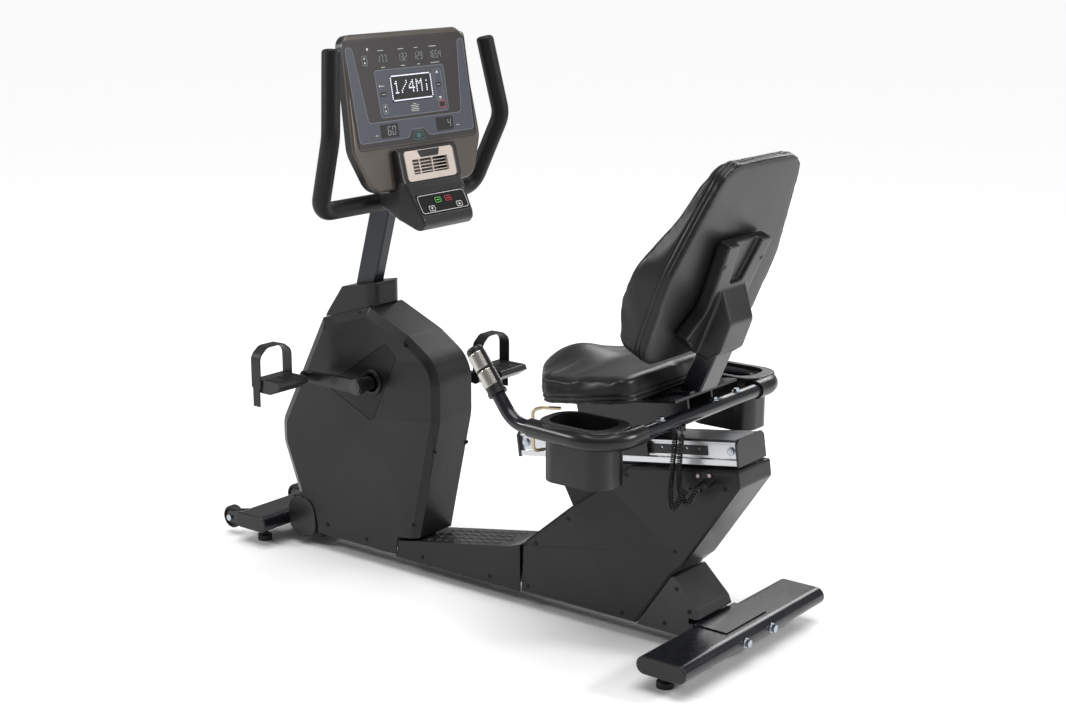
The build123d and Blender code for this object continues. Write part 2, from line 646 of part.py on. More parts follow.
def console_pod():
    """Nose below the display: the fan outlet above, the key panel below."""
    solid = plate(POD_POINTS, -104, 104, POD_RADII)
    solid -= console_place() * block(-60, 0.02, -300, 300, 0, 400)
    for side in SIDES.values():
        solid -= pod_trim(side)
    solid -= pod_frame(VENT, VENT_TILT) * block(-40, 20, -62, 62, -22, 14)
    solid -= pod_frame(VENT, VENT_TILT) * bezel_plate(20)
    solid -= pod_frame(KEYPAD, KEYPAD_TILT) * block(-3, 20, -85, 85, -25, 25)
    for y, z in KEYS.values():
        solid -= pod_frame(KEYPAD, KEYPAD_TILT) * block(-9, 0, y - KEY_HALF - 3, y + KEY_HALF + 3, z - 8, z + 8)
    solid -= mast_bar(MAST_WIDTH + 1, MAST_DEPTH + 1)
    return solid - rod(-252, 905, BAR_R + 0.3, -200, 200)


def pod_trim(side):
    """Wedge that narrows the nose towards its lower front edge."""
    y = side * 104
    points = [(-60, y + side * 1), (-60, side * 84), (-112, side * 90), (-160, y), (-160, y + side * 1)]
    face = make_face(Polyline(*[(x, y, 0) for x, y in points], close=True))
    return Pos(0, 0, 840) * extrude(face, 120, dir=(0, 0, 1))


def bezel_plate(front):
    solid = block(-6, front, -84, 84, -36, 34)
    return fillet(solid.edges().filter_by(Axis.X), 9)


def fan_bezel():
    """Light plate round the fan outlet, with five louvres and two uprights."""
    plate_piece = bezel_plate(1.5) - block(-10, 5, -61, 61, -21, 13)
    for k in range(4):
        z = -17.5 + 7.6 * k
        plate_piece += block(-5, -3.4, -61.5, 61.5, z, z + 2)
    for y in (-36, 8):
        plate_piece += block(-3.6, -1.4, y, y + 3, -21.5, 13.5)
    return plate_piece


def keypad():
    sheet = block(-2.8, 0.4, -84.6, 84.6, -24.6, 24.6)
    sheet = fillet(sheet.edges().filter_by(Axis.X), 9)
    for y, z in KEYS.values():
        sheet -= block(-5, 5, y - KEY_HALF - 2.4, y + KEY_HALF + 2.4, z - 7.4, z + 7.4)
    return sheet


def key(name):
    y, z = KEYS[name]
    cap = block(-6, 1.4, y - KEY_HALF - 2, y + KEY_HALF + 2, z - 7, z + 7)
    return fillet(cap.edges().filter_by(Axis.X), 2)


# ---------------------------------------------------------------- rail
def rail_place():
    return Location((RAIL_START[0], 0, RAIL_START[1]), (0, -RAIL_TILT, 0))


def seat_rail():
    """Extruded aluminium rail with a side groove on each side."""
    half = [
        (RAIL_FLANGE, 0), (RAIL_FLANGE, 12), (RAIL_WEB, 14), (RAIL_WEB, 44), (RAIL_TOP, 46),
        (RAIL_TOP, 50), (RAIL_TOP - 6, RAIL_HEIGHT),
    ]
    corners = half + [(-y, z) for y, z in reversed(half)]
    face = make_face(Polyline(*[(0, y, z) for y, z in corners], close=True))
    bar = extrude(face, RAIL_LENGTH - 12, dir=(1, 0, 0))
    bar = Pos(6, 0, 0) * bar
    for y in (-21, 21):
        bar -= block(0, RAIL_LENGTH, y - 17, y + 17, 5, 47)
    for u in (21, 568):
        for side in SIDES.values():
            bar -= rod(u, 30, 4, side * 36, side * 50)
    return rail_place() * bar


def rail_caps():
    caps = []
    for u, direction in ((0, 1), (RAIL_LENGTH, -1)):
        u1 = u + direction * 6
        cap = block(min(u, u1), max(u, u1), -54, 54, -2, 56)
        cap = chamfer(cap.edges().filter_by(Axis.X).sort_by(Axis.Z)[-2:], 9)
        caps.append(rail_place() * cap)
    return caps


def end_caps():
    """Moulded end caps of both stabilisers and of the rail."""
    return group(stabiliser_caps() + rail_caps())


def latch_strip():
    """Perforated strip that the seat latch drops into."""
    strip = block(150, 510, -RAIL_WEB - 3, -RAIL_WEB, 20, 40)
    for k in range(11):
        strip -= rod(170 + 32 * k, 33, 3.5, -60, -40)
    return rail_place() * strip


# ---------------------------------------------------------------- seat frame
SEAT_BAR_POINTS = [
    (232, 309, 668), (344, 318, 530), (601, 345, 530),
    (601, -345, 530), (344, -318, 530), (232, -309, 668),
]
SEAT_BAR_RADII = [70, 78, 78, 70]


def seat_bar():
    bar = pipe(SEAT_BAR_POINTS, SEAT_BAR_RADII, SEAT_BAR_R)
    exits = [LEAD_ROUTES[name][0] for name in LEAD_ROUTES]
    for x, y, z in exits:
        bar += post(x, y, CURL_R + 1, z + LEAD_CLEAR, LEAD_EXIT_TOP)
    return bar - pipe(SEAT_BAR_POINTS, SEAT_BAR_RADII, SEAT_BAR_R - 2.5)


def seat_carriage():
    """Welded carriage: channel over the rail, two risers and the seat pan."""
    u0, u1 = CARRIAGE
    frame = block(u0, u1, -60, 60, 62, 68)
    for side in SIDES.values():
        frame += block(u0, u1, min(side * 54, side * 60), max(side * 54, side * 60), 15, 68)
        riser = plate([
            (u0 + 20, 66), (u1 - 30, 66), (473, 96), (473, PAN_W), (u0 + 10, PAN_W),
        ], side * 46 - 3, side * 46 + 3, [2, 20, 12, 2, 2])
        frame += riser
        for u in (u0 + 40, u1 - 40):
            frame += block(u - 10, u + 10, min(side * 50, side * 54), max(side * 50, side * 54), 16, 19)
    frame += block(u0 + 10, 492, -120, 120, PAN_W, PAN_W + 6)
    frame = rail_place() * frame
    bar_x = SEAT_BAR_POINTS[2][0]
    return frame - rod(bar_x, SEAT_BAR_Z, SEAT_BAR_R, -200, 200)


def rounded_cup(x_half, y_half, radius, z0, z1, side):
    place = Pos(CUP_X, side * CUP_Y, z0)
    return place * extrude(RectangleRounded(2 * x_half, 2 * y_half, radius), z1 - z0)


def cup_holder(side):
    """Corner moulding over the seat bar with a deep cup pocket."""
    route = [(392, side * 323, 530), (601, side * 345, 530), (601, side * 222, 530)]
    sleeve = pipe(route, [78], 20)
    deck = Pos(0, 0, 540) * extrude(RectangleRounded(2 * 96, 2 * 62, 50), CUP_TOP - 540)
    deck = fillet(deck.faces().sort_by(Axis.Z)[-1].edges(), 4)
    deck = Pos(CUP_X + 4, side * (CUP_Y + 2), 0) * deck
    body = sleeve + deck + rounded_cup(80, 52, 40, CUP_BOTTOM, 545, side)
    body -= rounded_cup(72, 47, 36, CUP_BOTTOM + 3, 560, side)
    return body - pipe(SEAT_BAR_POINTS, SEAT_BAR_RADII, SEAT_BAR_R)


def pulse_grips():
    """Moulded sleeves on the tips of the seat bar, closed at the end."""
    grips = []
    tip, bend = Vector(232, 309, 668), Vector(344, 318, 530)
    along = (bend - tip).normalized()
    start = tip - along * 6
    place = Plane(origin=start, z_dir=along)
    sleeve = place * extrude(Circle(19), 112)
    sleeve = fillet(sleeve.faces().sort_by(Axis.Z)[-1].edges(), 8)
    sleeve += Plane(origin=start + along * 106, z_dir=along) * extrude(Circle(21), 8)
    sleeve -= pipe(SEAT_BAR_POINTS, SEAT_BAR_RADII, SEAT_BAR_R)
    return group(both(sleeve))


def seat_cushion():
    """Contoured seat pad: level rear, raised nose at the front."""
    plan = [(298, 210), (206, 204), (130, 100), (95, 40), (95, -40), (130, -100), (206, -204), (298, -210),
            (430, -200), (430, 200)]
    radii = [40, 40, 120, 40, 40, 120, 40, 40, 36, 36]
    footprint = make_face(FilletPolyline(*[(u, y, 0) for u, y in plan], radius=radii, close=True))
    pad = Pos(0, 0, CUSHION_W) * extrude(footprint, 110, dir=(0, 0, 1))
    top = CUSHION_W + CUSHION_THICK
    profile = plate([(90, CUSHION_W), (90, top + 12), (130, top + 38), (175, top + 36), (260, top + 4),
                     (440, top), (440, CUSHION_W)], -220, 220, [2, 20, 30, 30, 80, 4, 2])
    return rail_place() * (pad & profile)


def back_place():
    return Location((BACK_FOOT[0], 0, BACK_FOOT[1]), (0, BACK_TILT, 0))


def back_cushion():
    """Backrest pad with a lumbar bulge; local X is out of its rear face."""
    outline = [(-148, 466), (148, 466), (214, 210), (198, 0), (-198, 0), (-214, 210)]
    face = make_face(FilletPolyline(*[(0, y, z) for y, z in outline], radius=[70, 70, 160, 60, 60, 160], close=True))
    pad = extrude(face, 110, dir=(-1, 0, 0))
    side = plate([(0, -5), (0, 470), (-42, 470), (-62, 330), (-98, 190), (-104, 120), (-66, -5)],
                 -230, 230, [1, 1, 12, 120, 90, 60, 20])
    return back_place() * (pad & side)


def back_bracket():
    """Moulded cover that joins the post to the back pad."""
    outline = [(-84, 292), (84, 292), (68, 140), (114, 78), (48, 30), (-48, 30), (-114, 78), (-68, 140)]
    face = make_face(FilletPolyline(*[(0, y, z) for y, z in outline], radius=[8, 8, 60, 8, 8, 8, 8, 60], close=True))
    cover = extrude(face, 30, dir=(1, 0, 0))
    cover = Pos(0.3, 0, 0) * cover
    recess = [(-50, 320), (50, 320), (22, 196), (-22, 196)]
    channel = make_face(Polyline(*[(0, y, z) for y, z in recess], close=True))
    cover -= Pos(18, 0, 0) * extrude(channel, 40, dir=(1, 0, 0))
    cover += plate([(0.3, 31), (0.3, 190), (28, 190), (78, 128), (80, 60), (60, 31)], -46, 46, [1, 1, 12, 12, 12, 6])
    return back_place() * cover - post_bar()


def post_bar(grow=0.0):
    """The bar that carries the backrest, from the pan up into its bracket."""
    return beam((578, 545), (675, 764), 70 + 2 * grow, 46 + 2 * grow)


def back_post():
    bar = post_bar() - back_place() * block(-200, 200, -200, 200, 116, 400)
    foot = rail_place() * block(432, 490, -60, 60, PAN_W + 6, PAN_W + 12)
    below = rail_place() * block(300, 600, -100, 100, 60, PAN_W + 6)
    return bar - below - back_cushion_envelope() + foot


def back_cushion_envelope():
    return back_place() * block(-120, 0.3, -250, 250, -40, 500)


def seat_lever():
    """Bent wire handle that lifts the seat latch; it pivots on the carriage's left side."""
    route = [(336, -64, 416), (262, -72, 403), (243, -122, 405), (241, -122, 499), (262, -112, 505), (300, -96, 506)]
    radii = [12, 12, 14, 10]
    handle = pipe(route, radii, 4)
    return handle + rod(336, 416, 7, -72, -60.3)


# ---------------------------------------------------------------- pulse leads
LEAD_ROUTES = {
    "front": [
        (594, -86, 508), (592, -87, 474), (590, -89, 440), (590, -94, 404), (595, -105, 372),
        (609, -122, 352), (627, -140, 350), (643, -151, 368), (650, -142, 392), (650, -118, 397),
    ],
    "rear": [
        (610, -86, 508), (608, -87, 476), (607, -89, 444), (608, -93, 412), (615, -100, 384),
        (630, -111, 366), (649, -125, 366), (667, -136, 378), (678, -134, 400), (678, -118, 401),
    ],
}
LEAD_EXIT_TOP = 520
LEAD_CLEAR = 0.8


def lead_radii(points):
    """The largest tangent arcs that the runs allow."""
    vectors = [Vector(*p) for p in points]
    radii = []
    for before, here, after in zip(vectors, vectors[1:], vectors[2:]):
        first, second = here - before, after - here
        turn = math.radians(first.get_angle(second))
        radii.append(0.45 * min(first.length, second.length) / math.tan(turn / 2))
    return radii


def pulse_lead(name):
    points = LEAD_ROUTES[name]
    radii = lead_radii(points)
    lead = pipe(points, radii, CURL_R)
    length = FilletPolyline(*points, radius=radii).length
    print(name, "lead radii", [round(r, 1) for r in radii], "length", round(length, 1),
          "volume share", round(lead.volume / (math.pi * CURL_R**2 * length), 4))
    return lead


def lead_plugs():
    """Straight plugs of the pulse leads, pushed into the sockets."""
    plugs = []
    for x, z in SOCKETS:
        plug = rod(x, z, 5, -118, -76) + rod(x, z, 3, -76, -BODY_SIDE - 2.2)
        plugs.append(plug + rod(x, z, 6, -112, -104))
    return group(plugs)


def lead_sockets():
    """Socket rings for the plugs, and the two capped spare sockets above them."""
    rings = []
    for x, z in SOCKETS:
        rings.append(rod(x, z, 7, -BODY_SIDE - 2, -BODY_SIDE))
    for x, z in ((640, 410), (668, 416)):
        rings.append(rod(x, z, 5.5, -BODY_SIDE - 3, -BODY_SIDE))
    return group(rings)


# ---------------------------------------------------------------- write every piece
def main():
    os.makedirs("parts", exist_ok=True)
    pieces = {
        "spine_tube": spine_tube, "front_upright": front_upright, "rear_upright": rear_upright,
        "front_stabiliser": front_stabiliser, "rear_stabiliser": rear_stabiliser,
        "frame_bolts": frame_bolts,
        "front_feet": front_feet, "shaft_bearings": shaft_bearings,
        "crank_axle": crank_axle, "crank_arms": crank_arms, "drive_pulley": drive_pulley,
        "flywheel": flywheel, "drive_belt": drive_belt,
        "crank_covers": crank_covers, "front_base_cover": front_base_cover,
        "neck_cover": neck_cover, "footwell_cover": footwell_cover,
        "rear_base_cover": rear_base_cover, "cover_screws": cover_screws,
        "mast": mast, "handlebar": handlebar, "handlebar_grips": handlebar_grips,
        "console_shell": console_shell, "console_face": console_face, "console_pod": console_pod,
        "seat_rail": seat_rail, "end_caps": end_caps, "latch_strip": latch_strip,
        "seat_bar": seat_bar, "seat_carriage": seat_carriage, "pulse_grips": pulse_grips,
        "seat_cushion": seat_cushion, "back_cushion": back_cushion,
        "back_bracket": back_bracket, "back_post": back_post, "seat_lever": seat_lever,
        "lead_plugs": lead_plugs, "lead_sockets": lead_sockets,
    }
    for name, make in pieces.items():
        save(name, make())
    save("fan_bezel", pod_frame(VENT, VENT_TILT) * fan_bezel())
    save("keypad", pod_frame(KEYPAD, KEYPAD_TILT) * keypad())
    for name in KEYS:
        save(f"key_{name}", pod_frame(KEYPAD, KEYPAD_TILT) * key(name))
    for word, side in SIDES.items():
        save(f"levelling_foot_{word}", levelling_foot(side))
        save(f"transport_wheel_{word}", transport_wheel(side))
        save(f"front_shroud_{word}", front_shroud(side))
        save(f"rear_body_{word}", rear_body(side))
        save(f"pedal_{word}", pedal(side))
        save(f"pedal_strap_{word}", pedal_strap(side))
        save(f"cup_holder_{word}", cup_holder(side))
    for name in LEAD_ROUTES:
        save(f"pulse_lead_{name}", pulse_lead(name))


main()
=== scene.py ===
import math

import bmesh
import bpy
from mathutils import Matrix, Vector


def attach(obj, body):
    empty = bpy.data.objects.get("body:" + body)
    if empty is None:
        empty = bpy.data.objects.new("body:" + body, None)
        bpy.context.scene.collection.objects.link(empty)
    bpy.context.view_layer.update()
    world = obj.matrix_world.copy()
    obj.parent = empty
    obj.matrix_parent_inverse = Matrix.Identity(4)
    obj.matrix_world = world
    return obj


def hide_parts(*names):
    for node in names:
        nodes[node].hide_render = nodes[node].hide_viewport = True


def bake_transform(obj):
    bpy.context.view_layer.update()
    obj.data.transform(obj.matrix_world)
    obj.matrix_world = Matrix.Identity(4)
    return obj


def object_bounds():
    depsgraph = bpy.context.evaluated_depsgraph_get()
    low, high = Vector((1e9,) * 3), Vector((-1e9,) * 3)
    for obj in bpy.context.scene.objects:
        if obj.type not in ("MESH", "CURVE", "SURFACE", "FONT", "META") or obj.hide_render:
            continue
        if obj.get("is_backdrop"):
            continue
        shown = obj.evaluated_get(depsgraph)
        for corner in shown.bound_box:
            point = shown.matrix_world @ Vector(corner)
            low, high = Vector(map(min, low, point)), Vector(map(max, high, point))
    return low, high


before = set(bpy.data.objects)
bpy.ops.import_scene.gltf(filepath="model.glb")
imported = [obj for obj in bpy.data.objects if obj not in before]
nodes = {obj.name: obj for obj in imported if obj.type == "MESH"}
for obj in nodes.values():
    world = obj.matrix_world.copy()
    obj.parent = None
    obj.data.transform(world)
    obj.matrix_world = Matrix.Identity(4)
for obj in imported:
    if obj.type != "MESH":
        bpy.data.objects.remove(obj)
cad_low, cad_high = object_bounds()
scene = bpy.context.scene


# ---------------------------------------------------------------- finishes
def finish_of(name, colour, rough, metal=0.0, grain=900.0, depth=0.3, kind="noise", shade=0.1,
              stretch=(1, 1, 1), coat=0.0, sheen=0.0, wear=0.0, height=0.0002, specular=0.4, spread=0.04):
    """A procedural finish: grain in the bump, drift in the colour and roughness, worn edges."""
    made = bpy.data.materials.new(name)
    made.use_nodes = True
    tree = made.node_tree
    new, link = tree.nodes.new, tree.links.new
    shader = tree.nodes["Principled BSDF"]
    shader.inputs["Metallic"].default_value = metal
    shader.inputs["Coat Weight"].default_value = coat
    shader.inputs["Specular IOR Level"].default_value = specular
    shader.inputs["Coat Roughness"].default_value = 0.12
    shader.inputs["Sheen Weight"].default_value = sheen

    place = new("ShaderNodeTexCoord")
    mapping = new("ShaderNodeMapping")
    mapping.inputs["Scale"].default_value = stretch
    link(place.outputs["Object"], mapping.inputs["Vector"])
    if kind == "noise":
        fine = new("ShaderNodeTexNoise")
        fine.inputs["Scale"].default_value = grain
        fine.inputs["Detail"].default_value = 4
        height_out = fine.outputs["Fac"]
    else:
        fine = new("ShaderNodeTexVoronoi")
        fine.feature = "DISTANCE_TO_EDGE" if kind == "leather" else "SMOOTH_F1"
        fine.inputs["Scale"].default_value = grain
        height_out = fine.outputs["Distance"]
    link(mapping.outputs["Vector"], fine.inputs["Vector"])
    bump = new("ShaderNodeBump")
    bump.inputs["Strength"].default_value = depth
    bump.inputs["Distance"].default_value = height
    link(height_out, bump.inputs["Height"])
    link(bump.outputs["Normal"], shader.inputs["Normal"])

    drift = new("ShaderNodeTexNoise")
    drift.inputs["Scale"].default_value = 11
    drift.inputs["Detail"].default_value = 6
    link(place.outputs["Object"], drift.inputs["Vector"])
    tint = new("ShaderNodeMix")
    tint.data_type = "RGBA"
    tint.inputs[6].default_value = [c * (1 - shade) for c in colour] + [1]
    tint.inputs[7].default_value = [min(1, c * (1 + shade)) for c in colour] + [1]
    link(drift.outputs["Fac"], tint.inputs[0])
    last = tint.outputs[2]
    if wear:
        shape = new("ShaderNodeNewGeometry")
        edge = new("ShaderNodeMapRange")
        edge.inputs["From Min"].default_value = 0.52
        edge.inputs["From Max"].default_value = 0.62
        edge.inputs["To Max"].default_value = wear
        link(shape.outputs["Pointiness"], edge.inputs["Value"])
        worn = new("ShaderNodeMix")
        worn.data_type = "RGBA"
        worn.inputs[7].default_value = [min(1, c * 2.2 + 0.02) for c in colour] + [1]
        link(edge.outputs["Result"], worn.inputs[0])
        link(last, worn.inputs[6])
        last = worn.outputs[2]
    link(last, shader.inputs["Base Color"])
    polish = new("ShaderNodeMapRange")
    polish.inputs["From Min"].default_value = 0.3
    polish.inputs["From Max"].default_value = 0.7
    polish.inputs["To Min"].default_value = max(0.03, rough - spread)
    polish.inputs["To Max"].default_value = min(1, rough + spread)
    link(drift.outputs["Fac"], polish.inputs["Value"])
    link(polish.outputs["Result"], shader.inputs["Roughness"])
    return made


def glowing(name, colour, strength):
    made = finish_of(name, colour, 0.4, grain=2500, depth=0.05)
    shader = made.node_tree.nodes["Principled BSDF"]
    shader.inputs["Emission Color"].default_value = (*colour, 1)
    shader.inputs["Emission Strength"].default_value = strength
    return made


cover_plastic = finish_of("cover_plastic", (0.005, 0.005, 0.0052), 0.33, grain=1700, depth=0.2, kind="cell",
                          wear=0.5, specular=0.25)
smooth_cover = finish_of("smooth_cover", (0.006, 0.006, 0.0063), 0.3, grain=1500, depth=0.1, wear=0.4)
base_cover = finish_of("base_cover", (0.013, 0.0125, 0.012), 0.33, grain=1600, depth=0.2, kind="cell", wear=0.4)
trim_plastic = finish_of("trim_plastic", (0.006, 0.006, 0.006), 0.36, grain=1400, depth=0.2, wear=0.4)
screw_black = finish_of("screw_black", (0.0012, 0.0012, 0.0012), 0.3, grain=900, depth=0.3, specular=0.2)
console_plastic = finish_of("console_plastic", (0.105, 0.093, 0.082), 0.34, metal=0.4, grain=2600, depth=0.08,
                            shade=0.05)
pod_plastic = finish_of("pod_plastic", (0.012, 0.012, 0.012), 0.36, grain=1700, depth=0.25, kind="cell", wear=0.4)
frame_paint = finish_of("frame_paint", (0.006, 0.0066, 0.0095), 0.27, metal=0.1, grain=380, depth=0.06, coat=0.25,
                        specular=0.35)
mast_paint = finish_of("mast_paint", (0.011, 0.013, 0.019), 0.32, metal=0.1, grain=380, depth=0.06, coat=0.2,
                       specular=0.3)
cast_black = finish_of("cast_black", (0.006, 0.006, 0.006), 0.3, metal=0.1, grain=500, depth=0.15, coat=0.3, wear=0.5)
vinyl = finish_of("vinyl", (0.0055, 0.0055, 0.006), 0.35, grain=620, depth=0.4, kind="leather", height=0.0003,
                  sheen=0.02, shade=0.1, specular=0.35)
piping_vinyl = finish_of("piping_vinyl", (0.009, 0.009, 0.0095), 0.33, grain=900, depth=0.4, kind="leather")
foam = finish_of("foam", (0.004, 0.004, 0.004), 0.5, grain=2200, depth=0.4, sheen=0.02, height=0.0003, specular=0.25)
rubber = finish_of("rubber", (0.006, 0.006, 0.006), 0.55, grain=1300, depth=0.4, wear=0.3)
strap_rubber = finish_of("strap_rubber", (0.008, 0.008, 0.008), 0.45, grain=700, depth=0.5, stretch=(1, 3, 1))
aluminium = finish_of("aluminium", (0.56, 0.57, 0.585), 0.3, metal=1.0, grain=40, depth=0.3, stretch=(1, 40, 40),
                      shade=0.03, spread=0.02, height=0.0001)
zinc = finish_of("zinc", (0.42, 0.46, 0.5), 0.24, metal=1.0, grain=700, depth=0.2, shade=0.08)
stainless = finish_of("stainless", (0.47, 0.45, 0.42), 0.25, metal=1.0, grain=80, depth=0.25, stretch=(6, 1, 1),
                      shade=0.05, spread=0.03)
steel = finish_of("steel", (0.36, 0.36, 0.37), 0.32, metal=1.0, grain=140, depth=0.3, stretch=(1, 12, 1))
passivated = finish_of("passivated", (0.5, 0.42, 0.28), 0.28, metal=1.0, grain=500, depth=0.2, shade=0.15)
bezel = finish_of("bezel", (0.6, 0.52, 0.47), 0.34, metal=0.3, grain=2400, depth=0.1, shade=0.04)
cord_jacket = finish_of("cord_jacket", (0.004, 0.004, 0.004), 0.28, grain=900, depth=0.1)
white_dot = finish_of("white_dot", (0.6, 0.5, 0.48), 0.4, grain=1500, depth=0.1)
dark_sheet = finish_of("dark_sheet", (0.036, 0.033, 0.032), 0.34, grain=3000, depth=0.05, coat=0.1, shade=0.03,
                       spread=0.01)
blue_sheet = finish_of("blue_sheet", (0.068, 0.073, 0.092), 0.34, grain=3000, depth=0.06, coat=0.1, shade=0.03,
                       spread=0.01)
black_sheet = finish_of("black_sheet", (0.006, 0.006, 0.006), 0.25, grain=3000, depth=0.04, coat=0.1, shade=0.05)
window_sheet = finish_of("window_sheet", (0.022, 0.021, 0.021), 0.3, grain=3000, depth=0.04, coat=0.1, shade=0.03)
line_print = finish_of("line_print", (0.22, 0.23, 0.26), 0.4, grain=2600, depth=0.05, shade=0.04)
white_print = finish_of("white_print", (0.62, 0.62, 0.6), 0.4, grain=2600, depth=0.05, shade=0.04)
green_print = finish_of("green_print", (0.13, 0.5, 0.09), 0.4, grain=2600, depth=0.05, shade=0.04)
red_print = finish_of("red_print", (0.55, 0.05, 0.05), 0.4, grain=2600, depth=0.05, shade=0.04)
teal_print = finish_of("teal_print", (0.035, 0.13, 0.15), 0.4, grain=2600, depth=0.05, shade=0.04)
lit_dots = glowing("lit_dots", (0.78, 0.8, 0.95), 0.75)
lit_digits = glowing("lit_digits", (0.3, 0.31, 0.34), 0.15)

NODE_FINISH = {
    "frame_paint": (frame_paint, ["spine_tube", "front_upright", "rear_upright", "front_stabiliser",
                                  "rear_stabiliser", "handlebar", "seat_bar", "seat_carriage", "back_post"]),
    "mast_paint": (mast_paint, ["mast"]),
    "cover_plastic": (cover_plastic, ["front_shroud_left", "front_shroud_right", "rear_body_left", "rear_body_right",
                                      "crank_covers", "front_base_cover", "neck_cover", "footwell_cover"]),
    "base_cover": (base_cover, ["rear_base_cover", "back_bracket"]),
    "smooth_cover": (smooth_cover, ["cup_holder_left", "cup_holder_right", "end_caps"]),
    "trim_plastic": (trim_plastic, ["latch_strip", "console_shell", "pulse_grips", "lead_plugs", "lead_sockets",
                                    "drive_pulley", "pedal_left", "pedal_right"]),
    "screw_black": (screw_black, ["cover_screws"]),
    "pod_plastic": (pod_plastic, ["console_pod"]),
    "console_plastic": (console_plastic, ["console_face"]),
    "bezel": (bezel, ["fan_bezel"]),
    "black_sheet": (black_sheet, ["keypad", "key_start", "key_stop", "key_up", "key_down"]),
    "foam": (foam, ["handlebar_grips"]),
    "vinyl": (vinyl, ["seat_cushion", "back_cushion"]),
    "aluminium": (aluminium, ["seat_rail"]),
    "zinc": (zinc, ["frame_bolts"]),
    "steel": (steel, ["shaft_bearings", "flywheel"]),
    "cast_black": (cast_black, ["crank_arms", "crank_axle"]),
    "passivated": (passivated, ["seat_lever"]),
    "rubber": (rubber, ["front_feet", "levelling_foot_left", "levelling_foot_right", "transport_wheel_left",
                        "transport_wheel_right", "drive_belt"]),
    "strap_rubber": (strap_rubber, ["pedal_strap_left", "pedal_strap_right"]),
    "cord_jacket": (cord_jacket, ["pulse_lead_front", "pulse_lead_rear"]),
}
for look, members in NODE_FINISH.values():
    for node in members:
        nodes[node].data.materials.clear()
        nodes[node].data.materials.append(look)


# ---------------------------------------------------------------- places and mesh helpers
def placed(x, z, tilt):
    """A frame on the bike: local X out of a face, local Y across, local Z up the face."""
    return Matrix.Translation((x, 0, z)) @ Matrix.Rotation(math.radians(-tilt), 4, "Y")


CONSOLE = placed(-0.169, 0.945, 10)
VENT = placed(-0.155, 0.997, 14)
KEYPAD = placed(-0.117, 0.911, 28.5)
RAIL = placed(0.148, 0.360, 8.2)
BACK = placed(0.575, 0.650, -22.5)


def from_bmesh(name, bm, look, body, smooth=False):
    mesh = bpy.data.meshes.new(name)
    bmesh.ops.recalc_face_normals(bm, faces=bm.faces)
    bm.to_mesh(mesh)
    bm.free()
    for face in mesh.polygons:
        face.use_smooth = smooth
    mesh.materials.append(look)
    made = bpy.data.objects.new(name, mesh)
    scene.collection.objects.link(made)
    if body:
        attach(made, body)
    return made


def prism(bm, low, high):
    """A closed block between two outlines that have the same number of points."""
    low = [bm.verts.new(p) for p in low]
    high = [bm.verts.new(p) for p in high]
    bm.faces.new(high)
    bm.faces.new(low[::-1])
    for i in range(len(low)):
        j = (i + 1) % len(low)
        bm.faces.new((low[i], low[j], high[j], high[i]))


def rounded(points, radius, steps=4):
    """The closed outline with its corners rounded."""
    corners = [Vector(p) for p in points]
    loop = []
    for i, here in enumerate(corners):
        before = corners[i - 1] - here
        after = corners[(i + 1) % len(corners)] - here
        reach = min(radius, before.length / 2.05, after.length / 2.05)
        start, end = here + before.normalized() * reach, here + after.normalized() * reach
        for k in range(steps + 1):
            t = k / steps
            loop.append((1 - t) ** 2 * start + 2 * t * (1 - t) * here + t * t * end)
    return loop


def box_loop(y0, y1, z0, z1, radius=0.0):
    corners = [(y0, z0), (y1, z0), (y1, z1), (y0, z1)]
    return rounded(corners, radius) if radius else [Vector(p) for p in corners]


class Print:
    """Thin raised shapes of one finish on one face of the bike."""

    def __init__(self, name, place, look, body):
        self.name, self.place, self.look, self.body = name, place, look, body
        self.bm = bmesh.new()

    def outline(self, x, loop):
        return [self.place @ Vector((x, p[0], p[1])) for p in loop]

    def patch(self, loop, x0, x1):
        prism(self.bm, self.outline(x0, loop), self.outline(x1, loop))

    def line(self, loop, width, x0, x1, closed=True):
        """A printed line that follows the loop."""
        count = len(loop)
        sides = []
        for i, here in enumerate(loop):
            before = loop[i - 1] if closed or i else here
            after = loop[(i + 1) % count] if closed or i < count - 1 else here
            along = (after - before).normalized()
            across = Vector((-along[1], along[0])) * width / 2
            sides.append((here - across, here + across))
        spans = range(count if closed else count - 1)
        for i in spans:
            (a, b), (c, d) = sides[i], sides[(i + 1) % count]
            self.patch([a, c, d, b], x0, x1)

    def done(self):
        return from_bmesh(self.name, self.bm, self.look, self.body)


# ---------------------------------------------------------------- display
SEGMENTS = {
    "0": "abcdef", "1": "bc", "2": "abged", "3": "abgcd", "4": "fgbc", "5": "afgcd", "6": "afgedc",
    "7": "abc", "8": "abcdefg", "9": "abcdfg",
}


def digits(ink, text, y, z, wide, tall, x0, x1):
    """Seven-segment numbers, leaning to the right."""
    thick = wide * 0.15
    for k, sign in enumerate(text):
        left = y + k * wide * 1.65
        lean = 0.1 * tall
        ends = {
            "a": ((0, 1), (1, 1)), "b": ((1, 1), (1, 0.5)), "c": ((1, 0.5), (1, 0)), "d": ((0, 0), (1, 0)),
            "e": ((0, 0), (0, 0.5)), "f": ((0, 0.5), (0, 1)), "g": ((0, 0.5), (1, 0.5)),
        }
        for segment in SEGMENTS[sign]:
            (u0, v0), (u1, v1) = ends[segment]
            start = Vector((left + u0 * wide + v0 * lean, z + v0 * tall))
            end = Vector((left + u1 * wide + v1 * lean, z + v1 * tall))
            run = (end - start) * 0.1
            ink.line([start + run, end - run], thick, x0, x1, closed=False)


